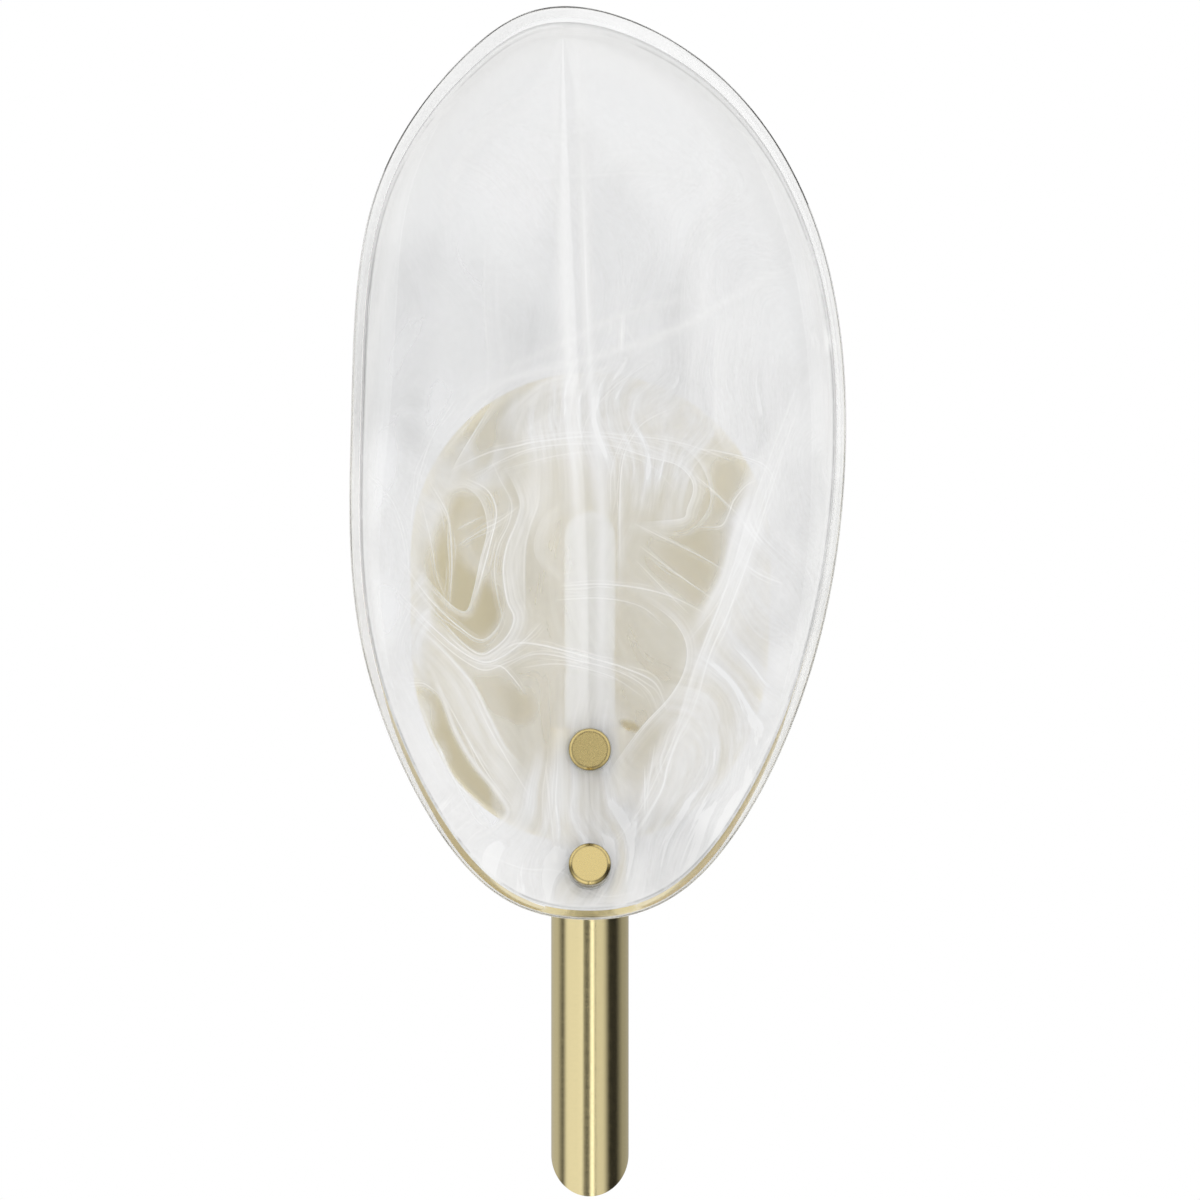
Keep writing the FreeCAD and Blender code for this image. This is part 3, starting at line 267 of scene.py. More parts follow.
half, floor_z = FLOOR_SIZE / 2, cad_box[0][2] - FLOOR_DROP
corners = [(-half, -half, floor_z), (half, -half, floor_z), (half, half, floor_z), (-half, half, floor_z)]
floor = new_object("floor", corners, [(0, 1, 2, 3)])
pale, tree, shader = material("pale_floor")
fill(tree, shader, {"Base Color": (0.88, 0.88, 0.87, 1.0), "Roughness": 0.8})
glossy = node(tree, "ShaderNodeLightPath").outputs["Is Glossy Ray"]
unseen = node(tree, "ShaderNodeBsdfTransparent").outputs[0]
fill(tree, tree.nodes["Material Output"], {0: shader_between(tree, glossy, shader.outputs[0], unseen)})
dress(floor.data, pale)


# --- Glass dish ---
# A tall oval dish of clear glass, formed by hand over a mould and ground
# flat along its rim, with a soft fold down the middle and two drilled holes.
# It is 4.5 mm thick at the sides and 6 mm at the top.

EDGE_SHAPE = np.array((
    (-0.059, 0.732), (0.291, 0.647), (0.503, 0.448), (0.528, 0.178), (0.441, -0.066), (0.219, -0.284),
    (-0.047, -0.304), (-0.266, -0.260), (-0.497, 0.001), (-0.475, 0.256), (-0.469, 0.510), (-0.250, 0.665),
))
DISH_WIDTH, DISH_HEIGHT = 0.160, 0.291
BOWL_Z, BOWL_REACH = -0.0154, 0.0726
RIM_REACH = (0.080, 0.1225)  # at the bottom and at the top
RIM_BAND = (0.0043, 0.0074)  # at the sides and at the top
WALL = (0.0045, 0.006)  # at the sides and at the top
RISE_SOFT, RISE_POWER, RISE_LINEAR = 0.6, 8, 1.06
FOLD_DEPTH, FOLD_WIDTH, FOLD_ROUND = 0.0012, 0.010, 0.003
FOLD_LEAN, FOLD_LEAN_START = 0.0515, 0.015
OUTLINE_COUNT = 2000  # points on the outline from which lengths are read off
STEP = 0.00025  # for slopes


def edge_at(t):
    """Points of the dish's outline, clockwise from the top, and the unit vectors pointing inwards.

    The outline is a closed curve of cubic pieces: each point is the blend of four
    neighbouring control points with the uniform cubic weights.
    """
    start = np.floor(t).astype(int)
    f = (t - start)[:, None]
    weights = ((1 - f) ** 3 / 6, (3 * f**3 - 6 * f**2 + 4) / 6, (-3 * f**3 + 3 * f**2 + 3 * f + 1) / 6, f**3 / 6)
    slopes = (-((1 - f) ** 2) / 2, (3 * f**2 - 4 * f) / 2, (-3 * f**2 + 2 * f + 1) / 2, f**2 / 2)
    corners = EDGE_SHAPE * (DISH_WIDTH, DISH_HEIGHT) + (0, BOWL_Z)
    near = [corners[(start + k) % len(corners)] for k in range(4)]
    point = sum(w * p for w, p in zip(weights, near))
    along = sum(w * p for w, p in zip(slopes, near))
    inward = np.stack((along[:, 1], -along[:, 0]), axis=1)
    return point, inward / np.linalg.norm(inward, axis=1)[:, None]


def turns(count):
    """That many even steps once round the outline."""
    return np.linspace(0, len(EDGE_SHAPE), count, endpoint=False)


OUTLINE, _ = edge_at(turns(OUTLINE_COUNT))
EDGE_BOTTOM, EDGE_TOP = OUTLINE[:, 1].min(), OUTLINE[:, 1].max()


def upness(z):
    """0 below the middle of the dish, growing evenly to 1 at its top."""
    middle = (EDGE_BOTTOM + EDGE_TOP) / 2
    return np.maximum(0, (z - middle) / (EDGE_TOP - middle))


def rim_reach(z):
    """Reach of the flat rim plane, which leans out towards the top."""
    return np.interp(z, (EDGE_BOTTOM, EDGE_TOP), RIM_REACH)


def rim_line(t):
    """The inner line of the ground rim: the outline, moved inwards by the rim's width."""
    point, inward = edge_at(t)
    band = RIM_BAND[0] + (RIM_BAND[1] - RIM_BAND[0]) * upness(point[:, 1]) ** 3
    return point + inward * band[:, None]


def from_middle(x, z):
    """Bearing and distance of flat points from the bowl's deepest point."""
    up = z - BOWL_Z
    return np.arctan2(up, x), np.hypot(x, up)


def by_bearing(line):
    """A closed line as a table in rising bearing: bearings, distances and heights."""
    bearing, length = from_middle(line[:, 0], line[:, 1])
    order = np.argsort(bearing)
    return bearing[order], length[order], line[order, 1]


RAY_BEARING, RAY_LENGTH, RAY_HEIGHT = by_bearing(rim_line(turns(OUTLINE_COUNT)))


def rim_share(x, z):
    """Share of the way from the bowl's deepest point to the rim line, and the rim line's height there."""
    bearing, length = from_middle(x, z)
    whole, height = (np.interp(bearing, RAY_BEARING, ray, period=2 * np.pi) for ray in (RAY_LENGTH, RAY_HEIGHT))
    return length / whole, height


def fold_depth(x, z):
    """Depth of the fold: a rounded valley that fades away from a line leaning left above the middle."""
    above = (z - FOLD_LEAN_START + np.hypot(z - FOLD_LEAN_START, FOLD_LEAN_START)) / 2
    side = x + FOLD_LEAN * above
    return FOLD_DEPTH * np.exp(-(np.hypot(side, FOLD_ROUND) - FOLD_ROUND) / FOLD_WIDTH)


def inner_reach(x, z):
    """Reach of the inner face: the bowl's depth plus the rim's height times the rise, less the fold.

    The rise is 0.6 s^2 + 0.4 s^8, where s is the share of the way from the deepest
    point to the rim line, and goes on in a straight line past the rim.
    """
    share, height = rim_share(x, z)
    steep = 1 - RISE_SOFT
    limit = np.minimum(share, RISE_LINEAR)
    slope = 2 * RISE_SOFT * limit + RISE_POWER * steep * limit ** (RISE_POWER - 1)
    rise = RISE_SOFT * limit**2 + steep * limit**RISE_POWER + slope * (share - limit)
    return BOWL_REACH + (rim_reach(height) - BOWL_REACH) * rise - fold_depth(x, z)


def wall_reach(x, z, depth):
    """Reach of a face inside the glass: depth 0 is the inner face and 1 the outer one.

    It lies behind the inner face by that share of the glass thickness, measured square to the face.
    """
    across = (inner_reach(x + STEP, z) - inner_reach(x - STEP, z)) / (2 * STEP)
    along = (inner_reach(x, z + STEP) - inner_reach(x, z - STEP)) / (2 * STEP)
    thickness = WALL[0] + (WALL[1] - WALL[0]) * upness(z)
    return inner_reach(x, z) - depth * thickness * np.sqrt(1 + across**2 + along**2)


def on_wall(flat, depth):
    """Points at a depth in the glass over flat (x, z) points."""
    x, z = flat[..., 0], flat[..., 1]
    return np.stack((x, -wall_reach(x, z, depth), z), axis=-1)


def on_rim(flat):
    """Points of the rim plane over flat (x, z) points."""
    return np.stack((flat[:, 0], -rim_reach(flat[:, 1]), flat[:, 1]), axis=1)


def bend(points, count):
    """A round corner: a curve of Bernstein weights through a short run of corner points."""
    t = np.linspace(0, 1, count)[None, :, None]
    degree = len(points) - 1
    weights = [math.comb(degree, k) * t**k * (1 - t) ** (degree - k) for k in range(degree + 1)]
    return sum(w * p[:, None, :] for w, p in zip(weights, points))


def closed_skin(name, rings, start, end):
    """A closed mesh from a grid whose rows run round the dish, with a pole at each end of its columns.

    rings is (round, along, 3); start and end are the poles' points.
    """
    round_count, along_count = rings.shape[:2]
    points = np.concatenate((rings.reshape(-1, 3), [start, end]))
    i, k = np.meshgrid(np.arange(round_count), np.arange(along_count - 1), indexing="ij")
    here, after = i * along_count + k, (i + 1) % round_count * along_count + k
    quads = np.stack((here, after, after + 1, here + 1), axis=-1).reshape(-1, 4)
    ring = np.arange(round_count) * along_count
    following = np.roll(ring, -1)
    last = along_count - 1
    fans = np.concatenate((
        np.stack((following, ring, np.full(round_count, len(points) - 2)), axis=1),
        np.stack((ring + last, following + last, np.full(round_count, len(points) - 1)), axis=1)))
    return new_object(name, points.tolist(), [tuple(face) for face in quads.tolist() + fans.tolist()])


FIXINGS = (-0.046, -0.084)  # heights of the knobs' axes at the inner face
HOLE_RADIUS = 0.004
HOLE_SIDES = 64
TILT_STEP = 0.001  # for the bowl's slope at a fixing


def fixing(height):
    """A fixing's place on the inner face and its axis, square to the bowl."""
    below, here, above = (float(inner_reach(np.array(0.0), np.array(height + shift)))
                          for shift in (-TILT_STEP, 0, TILT_STEP))
    tilt = math.atan2(below - above, 2 * TILT_STEP)
    return Vector((0, -here, height)), Vector((0, -math.cos(tilt), math.sin(tilt)))


def drill(target, radius):
    """Cuts a round hole through the glass along each fixing's axis."""
    long, sides = 4 * WALL[0], HOLE_SIDES
    angle = np.linspace(0, 2 * np.pi, sides, endpoint=False)
    ring = np.stack((radius * np.cos(angle), radius * np.sin(angle)), axis=1)
    points, faces = [], []
    for number, height in enumerate(FIXINGS):
        base, axis = fixing(height)
        turn = np.array((Matrix.Translation(base) @ axis.to_track_quat("Z", "X").to_matrix().to_4x4()))
        ends = np.concatenate([np.column_stack((ring, np.full(sides, z))) for z in (-long / 2, long / 2)])
        points.append(ends @ turn[:3, :3].T + turn[:3, 3])
        first = 2 * sides * number
        faces += [(first + k, first + (k + 1) % sides, first + sides + (k + 1) % sides, first + sides + k)
                  for k in range(sides)]
        faces += [tuple(range(first, first + sides))[::-1], tuple(range(first + sides, first + 2 * sides))]
    tool = new_object("drill", np.concatenate(points).tolist(), faces)
    cut = target.modifiers.new("drill", "BOOLEAN")
    cut.operation = "DIFFERENCE"
    cut.solver = "EXACT"
    cut.object = tool
    bpy.context.view_layer.update()
    drilled = bpy.data.meshes.new_from_object(target.evaluated_get(bpy.context.evaluated_depsgraph_get()))
    target.modifiers.clear()
    target.data = drilled
    bpy.data.objects.remove(tool)


ROUND_COUNT, FACE_COUNT, CORNER_COUNT, EDGE_COUNT = 420, 92, 6, 10
LIP, HEEL = 0.0007, 0.0018  # how far the corners of the rim are rounded
LIP_WIDE = 0.2  # share of the rim's width over which its inner corner is rounded
CREASE = 38  # degrees, above which an edge stays sharp

t = turns(ROUND_COUNT)
edge, inward = edge_at(t)
line = rim_line(t)
centre = np.array((0.0, BOWL_Z))
lip_inside = line - (line - centre) / np.linalg.norm(line - centre, axis=1)[:, None] * LIP
heel_inside = edge + inward * HEEL
shares = np.linspace(0, 1, FACE_COUNT + 1)[1:]
inner_face = on_wall(centre + (lip_inside - centre)[:, None, :] * shares[None, :, None], 0.0)
outer_face = on_wall(centre + (heel_inside - centre)[:, None, :] * shares[None, ::-1, None], 1.0)
lip = bend((on_wall(lip_inside, 0.0), on_rim(line), on_rim(line + (edge - line) * LIP_WIDE)), CORNER_COUNT)
heel = bend((on_rim(edge + inward * LIP), on_rim(edge), on_wall(edge, 1.0), on_wall(heel_inside, 1.0)),
            EDGE_COUNT)
profile = np.concatenate((inner_face, lip[:, 1:], heel, outer_face[:, 1:]), axis=1)
shell = closed_skin("glass_dish", profile, on_wall(centre, 0.0), on_wall(centre, 1.0))
drill(shell, HOLE_RADIUS)
shell.data.shade_smooth()
shell.data.set_sharp_from_angle(angle=math.radians(CREASE))

EDGE_SHADE_WIDTH = 0.00034  # painted shade: width of the thin dark line painted along each corner of the rim
OUTER_EDGE_SHADE = 0.35  # how much of that painted line shows on the outer corner
RIPPLE_START, RIPPLE_FADE = 0.0010, 0.0012  # how far inside the rim line the rim's ripple begins
NEAR_RIM, NEAR_RIM_POWER = 0.014, 1.5  # painted light: how far in from the rim line the glass's tint is made clearer, to brighten the rim

points = points_of(shell)
bearing, out = from_middle(points[:, 0], points[:, 2])
edge_bearing, edge_length, _ = by_bearing(OUTLINE)
past_line = out - np.interp(bearing, RAY_BEARING, RAY_LENGTH, period=2 * np.pi)
past_edge = out - np.interp(bearing, edge_bearing, edge_length, period=2 * np.pi)
off_rim = rim_reach(points[:, 2]) + points[:, 1]
inner_line, outer_line = (np.exp(-(np.hypot(past, off_rim) / EDGE_SHADE_WIDTH) ** 2)
                          for past in (past_line, past_edge))
keep_value(shell, "painted_edge_shade", np.maximum(inner_line, OUTER_EDGE_SHADE * outer_line))
keep_value(shell, "rim_band", np.clip((past_line + RIPPLE_START) / RIPPLE_FADE, 0, 1))
keep_value(shell, "rim_painted_light", np.clip(1 + past_line / NEAR_RIM, 0, 1) ** NEAR_RIM_POWER)

CLEAR, RIM_LIT_TINT = (0.875, 0.88, 0.892, 1.0), (0.98, 0.982, 0.985, 1.0)  # of the wall, and the clearer tint near its rim, which is painted light
# Painted shade: the near-black tone of the thin lines painted along the rim's corners, standing in for the dark
# lines the glass's edge shows.
EDGE_SHADE_TONE = (0.03, 0.035, 0.035, 1.0)
EDGE_SHADE_BREAKS = (0.38, 0.52, 0.0, 0.97)  # painted shade: where the noise breaks the painted edge line, and how dark it gets
EDGE_BREAK_SCALE, RIPPLE_SCALE = 38.0, 42.0

dish_glass, tree, shader = material("dish_glass")
place = place_on(tree)
# Painted shade: thin dark lines along the rim's corners, broken by noise.
edge_breaks = ramp(tree, noise(tree, place, EDGE_BREAK_SCALE, 5.0, Roughness=0.7), *EDGE_SHADE_BREAKS)
edge_shaded = maths(tree, "MULTIPLY", edge_breaks, kept(tree, "painted_edge_shade"), clamp=True)
# Painted light: the tint is clearer near the rim, so that the rim renders brighter.
body = colour_between(tree, kept(tree, "rim_painted_light"), CLEAR, RIM_LIT_TINT)
ripple = product(tree, noise(tree, place, RIPPLE_SCALE, 1.0), kept(tree, "rim_band"))
uneven = node(tree, "ShaderNodeBump", {"Strength": 0.35, "Distance": 0.001, "Height": ripple})
fill(tree, shader, {"Base Color": colour_between(tree, edge_shaded, body, EDGE_SHADE_TONE), "Roughness": 0.0, "IOR": 1.50,
                    "Transmission Weight": 1.0, "Normal": uneven.outputs[0]})
passing = node(tree, "ShaderNodeLightPath").outputs
unbent = node(tree, "ShaderNodeBsdfTransparent").outputs[0]
lit = shader_between(tree, passing["Is Shadow Ray"], shader.outputs[0], unbent)
lit = shader_between(tree, passing["Is Diffuse Ray"], lit, unbent)
fill(tree, tree.nodes["Material Output"], {0: lit})
dress(shell.data, dish_glass)
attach(shell, "fixture")
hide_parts("shell_glass")


# --- Milky swirls ---
# Opal glass folded into the clear glass while it was hot: soft clouds, wispy
# veils with one crisp edge, and fine threads. They lie in the middle of the
# wall, so they are one thin closed sheet that is only as milky as each swirl.

# Every place here is read off the picture, in its pixels.
# Each cloud or clearing: its middle, its half width and height, its turn
# anticlockwise in degrees, and how much milk it adds or takes away.
CLOUDS = (
    ((595, 640), (150, 250), 0, 0.53),
    ((655, 412), (112, 62), 8, 0.72),
    ((590, 892), (150, 66), 0, 0.78),
    ((592, 815), (60, 90), 0, 0.86),
    ((725, 760), (70, 150), -24, 0.86),
    ((690, 830), (80, 60), 40, 0.8),
    ((410, 540), (32, 150), 0, 0.78),
    ((485, 865), (85, 62), -30, 0.74),
    ((778, 520), (56, 170), -8, 0.88),
    ((600, 110), (180, 90), 0, 0.3),
    ((720, 250), (90, 110), -20, 0.24),
    ((590, 290), (250, 190), 0, 0.62),
    ((655, 515), (42, 62), 0, 0.34),
    ((445, 470), (34, 34), 0, 0.55),
    ((478, 460), (24, 22), 0, 0.5),
    ((400, 700), (34, 80), -18, 0.6),
    ((436, 800), (36, 50), 35, 0.6),
    ((735, 770), (50, 60), -40, 0.6),
)
CLEARINGS = (
    ((456, 600), (31, 58), 14, 0.9),
    ((484, 432), (9, 46), -33, 0.34),
    ((466, 764), (15, 76), 32, 0.76),
    ((706, 566), (38, 44), 30, 0.36),
    ((494, 524), (12, 34), 0, 0.36),
    ((503, 690), (26, 22), 0, 0.42),
    ((724, 492), (18, 24), 0, 0.3),
    ((662, 545), (60, 26), -24, 0.18),
    ((640, 765), (30, 50), 0, 0.16),
    ((622, 731), (13, 4), 0, 0.75),
)
PAINTED_SHADES = (  # painted shade: where the milk is greyed to stand in for shade, written as the clouds are
    ((450, 355), (100, 120), 0, 0.15),
    ((590, 310), (100, 110), 0, 0.08),
    ((740, 320), (80, 110), 0, 0.05),
    ((758, 550), (55, 125), -8, 0.14),
    ((668, 840), (45, 45), 30, 0.12),
)

# Each veil: the run of its crisp edge, how far it fades out in millimetres (to
# the right of its run, or to the left if below zero), and how milky it is.
VEILS = (
    # over the plate's upper half, and the sliver beside it
    (((494, 450), (502, 423), (522, 401), (550, 381), (590, 374), (625, 360), (665, 335)), 34, 0.74),
    (((446, 482), (458, 458), (476, 428), (496, 396)), 3.0, 0.75),
    (((425, 486), (440, 458), (462, 430), (496, 392), (540, 374)), -14, 0.55),
    # narrow V on the left
    (((440, 500), (462, 487), (480, 500), (487, 528), (480, 560), (473, 592), (466, 611), (452, 606),
      (432, 585), (412, 560)), -3.4, 0.85),
    # the long S that ends in the wide V
    (((492, 452), (508, 473), (520, 500), (517, 520), (507, 545), (503, 570), (507, 600), (514, 618),
      (507, 636), (492, 650), (479, 654), (462, 643), (440, 621), (410, 598)), -8, 0.92),
    (((539, 431), (539, 480), (537, 505), (529, 528), (524, 558), (524, 620), (522, 660)), 9, 0.62),
    (((560, 498), (543, 517), (534, 545), (541, 565), (560, 585)), -5, 0.5),
    # broad band and veil at the lower left
    (((398, 615), (428, 637), (455, 664), (474, 688), (488, 716), (505, 748), (530, 775)), 15, 0.88),
    (((416, 648), (431, 670), (443, 700), (456, 734), (474, 764), (494, 788), (508, 811), (497, 826),
      (478, 838), (450, 842)), -24, 0.88),
    (((414, 690), (428, 728), (440, 754), (456, 783), (480, 804), (502, 820)), 12, 0.8),
    # loops on the right
    (((580, 444), (612, 446), (650, 457), (676, 464), (690, 476), (694, 490), (688, 508), (684, 518),
      (662, 521), (628, 523)), -5, 0.85),
    (((640, 438), (672, 441), (696, 458), (708, 479), (711, 500), (703, 518), (684, 532), (650, 528)), -2.6, 0.62),
    (((655, 372), (622, 392), (602, 410), (590, 430), (580, 470), (576, 520)), -16, 0.42),
    (((690, 400), (652, 420), (633, 440), (623, 462), (620, 500), (618, 560), (614, 620)), -3, 0.55),
    (((720, 300), (717, 380), (717, 420), (726, 448), (740, 463)), -24, 0.72),
    (((742, 470), (755, 490), (744, 512), (732, 545), (724, 576), (712, 600), (700, 625), (690, 650)), -26, 0.72),
    # the broad slanting veil
    (((812, 340), (796, 392), (779, 436), (762, 480), (748, 520), (736, 560), (722, 600), (706, 640),
      (694, 672), (684, 704), (672, 745), (660, 790)), -11, 0.95),
    (((800, 385), (777, 435), (759, 468), (744, 509), (728, 572), (699, 625), (684, 668)), -58, 0.85),
    # the hook above the lower knob
    (((632, 596), (652, 604), (675, 622), (687, 645), (685, 670), (670, 697), (645, 724), (625, 750),
      (608, 776), (600, 800)), -5, 0.85),
    (((668, 716), (660, 745), (650, 775), (640, 805), (628, 836)), -20, 0.7),
    # faint veils in the upper half
    (((487, 205), (484, 300), (488, 380), (474, 440)), -16, 0.55),
    (((440, 240), (470, 200), (500, 184), (553, 176), (600, 174), (647, 172), (690, 180), (718, 196),
      (745, 226), (768, 266)), -20, 0.5),
    (((684, 230), (682, 300), (681, 360), (692, 415)), -10, 0.46),
    (((770, 215), (738, 285), (700, 322), (640, 340)), -18, 0.4),
    (((640, 230), (622, 262), (606, 300), (600, 350)), -12, 0.36),
)

# Each soft streak or thread: its run, its half width in millimetres, and how
# milky it is. The streaks down the fold are partly a milky band and partly
# painted highlight: the fold's reflection of the strip light, drawn as white milk.
STREAKS = (
    (((555, 22), (560, 180), (565, 300), (571, 400), (577, 520)), 2.8, 0.8),
    (((569, 380), (577, 500), (583, 600), (584, 745)), 2.0, 0.4),
    (((576, 22), (583, 180), (587, 300), (592, 400), (602, 520)), 2.3, 1.0),
    (((592, 380), (602, 500), (602, 600), (600, 745)), 2.3, 0.66),
    (((585, 770), (586, 800), (587, 845)), 1.0, 0.3),
    (((598, 770), (598, 800), (600, 845)), 1.0, 0.35),
    (((560, 700), (562, 780), (566, 860)), 0.9, 0.35),
    # broad soft ones in the upper half
    (((440, 425), (500, 383), (593, 358), (660, 336), (718, 306), (795, 262)), 1.9, 0.62),
    (((500, 372), (560, 345), (620, 316), (690, 296)), 1.6, 0.45),
    (((445, 235), (452, 175), (485, 128), (550, 100)), 2.0, 0.45),
    (((455, 150), (490, 112), (552, 78)), 1.5, 0.42),
    (((706, 120), (712, 200), (704, 300), (690, 400)), 2.2, 0.4),
    (((352, 470), (365, 400), (372, 330), (392, 250)), 1.8, 0.4),
)
THREADS = (
    # across the top of the plate
    (((450, 470), (475, 458), (493, 451), (516, 446), (540, 441), (600, 436), (650, 446), (685, 458)), 0.34, 0.75),
    (((520, 438), (580, 432), (635, 436), (673, 441), (705, 450), (735, 462)), 0.3, 0.65),
    (((470, 476), (530, 449), (600, 444), (646, 456), (673, 463)), 0.3, 0.6),
    (((500, 470), (560, 455), (610, 452), (650, 465), (675, 490)), 0.26, 0.45),
    (((455, 398), (430, 440), (415, 490), (408, 540)), 0.35, 0.45),
    # on the left
    (((465, 478), (487, 490), (496, 512), (490, 543), (482, 573), (474, 600)), 0.32, 0.8),
    (((430, 484), (440, 500), (448, 518), (451, 551), (451, 575), (448, 612)), 0.3, 0.7),
    (((420, 500), (430, 540), (436, 575), (446, 600)), 0.28, 0.5),
    (((455, 547), (478, 532), (499, 521), (520, 505)), 0.28, 0.5),
    (((456, 530), (470, 522), (484, 516)), 0.24, 0.45),
    (((400, 560), (430, 600), (460, 628), (481, 640), (497, 628), (505, 608)), 0.3, 0.75),
    (((396, 590), (433, 628), (462, 652), (484, 662), (503, 656), (524, 640), (541, 622)), 0.34, 0.85),
    (((404, 606), (440, 642), (466, 662), (485, 670), (508, 662), (535, 650)), 0.28, 0.65),
    (((492, 462), (500, 480), (511, 502), (509, 522), (498, 546), (494, 570), (498, 600), (505, 625)), 0.28, 0.55),
    # arcs across the middle
    (((489, 663), (503, 650), (519, 643), (541, 645), (566, 651), (599, 660), (625, 668), (655, 683),
      (668, 712)), 0.36, 0.85),
    (((500, 670), (535, 654), (580, 661), (620, 672), (648, 690), (660, 715)), 0.28, 0.65),
    (((520, 668), (560, 664), (610, 676), (645, 698)), 0.26, 0.5),
    (((482, 667), (500, 666), (512, 677), (526, 695)), 0.28, 0.7),
    (((560, 586), (600, 584), (640, 588), (673, 597), (705, 613)), 0.32, 0.7),
    (((555, 600), (600, 598), (640, 606), (668, 628)), 0.26, 0.5),
    # lower left
    (((452, 778), (462, 796), (474, 818), (490, 832)), 0.3, 0.75),
    (((440, 690), (462, 730), (486, 772), (512, 806)), 0.3, 0.7),
    (((470, 690), (490, 730), (512, 768), (532, 800)), 0.28, 0.6),
    (((408, 683), (424, 684), (440, 696)), 0.28, 0.6),
    # beside the lamp, and the fan to the right of it
    (((655, 358), (620, 382), (601, 401), (588, 418), (578, 450)), 0.3, 0.6),
    (((678, 405), (646, 421), (633, 436), (625, 453), (621, 476), (620, 509), (620, 560)), 0.3, 0.7),
    (((640, 392), (633, 410), (630, 426), (618, 448), (611, 476), (611, 512)), 0.26, 0.55),
    (((696, 449), (718, 451), (762, 463), (776, 483), (779, 504)), 0.32, 0.7),
    (((699, 527), (721, 526), (729, 514), (734, 501), (746, 486), (759, 479)), 0.28, 0.65),
    (((634, 523), (660, 536), (695, 553), (728, 572)), 0.26, 0.6),
    (((640, 546), (679, 575), (715, 600)), 0.26, 0.55),
    (((636, 560), (665, 590), (690, 615)), 0.24, 0.45),
    (((740, 560), (760, 574), (785, 584)), 0.4, 0.75),
    (((694, 474), (715, 492), (742, 518)), 0.26, 0.55),
    (((795, 418), (771, 493), (749, 559), (729, 612), (710, 655), (697, 700), (684, 730)), 0.36, 0.8),
    (((690, 640), (720, 600), (750, 540), (775, 470), (800, 410)), 0.28, 0.6),
    # down to the lower edge
    (((690, 700), (665, 760), (640, 810), (610, 850)), 0.3, 0.6),
    (((655, 745), (648, 790), (643, 815)), 0.26, 0.7),
    (((545, 760), (550, 810), (556, 862)), 0.34, 0.5),
    (((470, 848), (520, 868), (560, 872), (600, 896), (640, 892)), 0.34, 0.55),
    # painted highlights: glints drawn as white milk, the bent streak at the lower right, and small ones
    (((690, 716), (678, 739), (668, 766), (663, 787), (651, 810), (633, 838)), 0.62, 1.0),
    (((645, 766), (645, 816)), 0.3, 0.9),
    (((623, 314), (622, 334), (621, 354)), 0.95, 1.0),
    (((829, 326), (831, 340), (830, 354)), 1.1, 1.0),
    (((436, 744), (444, 761)), 0.5, 0.9),
    (((555, 850), (555, 864)), 1.0, 1.0),
    (((362, 470), (390, 500), (405, 540), (408, 580)), 0.34, 0.5),
)
MM = 0.001
CLEAR_OF = 0.003  # how far around a swirl its layer is kept for it
APART = 137.0  # millimetres between one swirl's pattern and the next one's
SPREAD = {"veil": 1.0, "streak": 2.5, "thread": 2.5}  # how many widths a swirl reaches out
OVAL_BORDER = (1.35, 0.7)  # where an oval has faded out, and over how much, in its half widths


def scale_at(reach):
    """Metres that one pixel covers at a reach."""
    return PIXEL_AT_TUBE * (CAMERA_AWAY - reach) / (CAMERA_AWAY - TUBE_AXIS)


def at_pixel(pixels, depth=0.5):
    """Flat (x, z) points in the glass wall that the camera sees at the picture's pixels."""
    shift = np.asarray(pixels, dtype=float) - PICTURE / 2
    reach = np.full(len(shift), BOWL_REACH)
    for _ in range(4):
        x = camera.location.x + shift[:, 0] * scale_at(reach)
        z = camera.location.z - shift[:, 1] * scale_at(reach)
        reach = wall_reach(x, z, depth)
    return np.stack((x, z), axis=1)


def smooth_run(points, per_span=16):
    """A smooth line through its points: each span is a cubic that leaves along its neighbours' chord."""
    ends = np.concatenate((2 * points[:1] - points[1:2], points, 2 * points[-1:] - points[-2:-1]))
    f = np.linspace(0, 1, per_span, endpoint=False)[None, :, None]
    a, b, c, d = (ends[k:len(ends) - 3 + k, None, :] for k in range(4))
    spans = b + 0.5 * f * (c - a + f * (2 * a - 5 * b + 4 * c - d + f * (3 * (b - c) + d - a)))
    return np.concatenate((spans.reshape(-1, 2), points[-1:]))


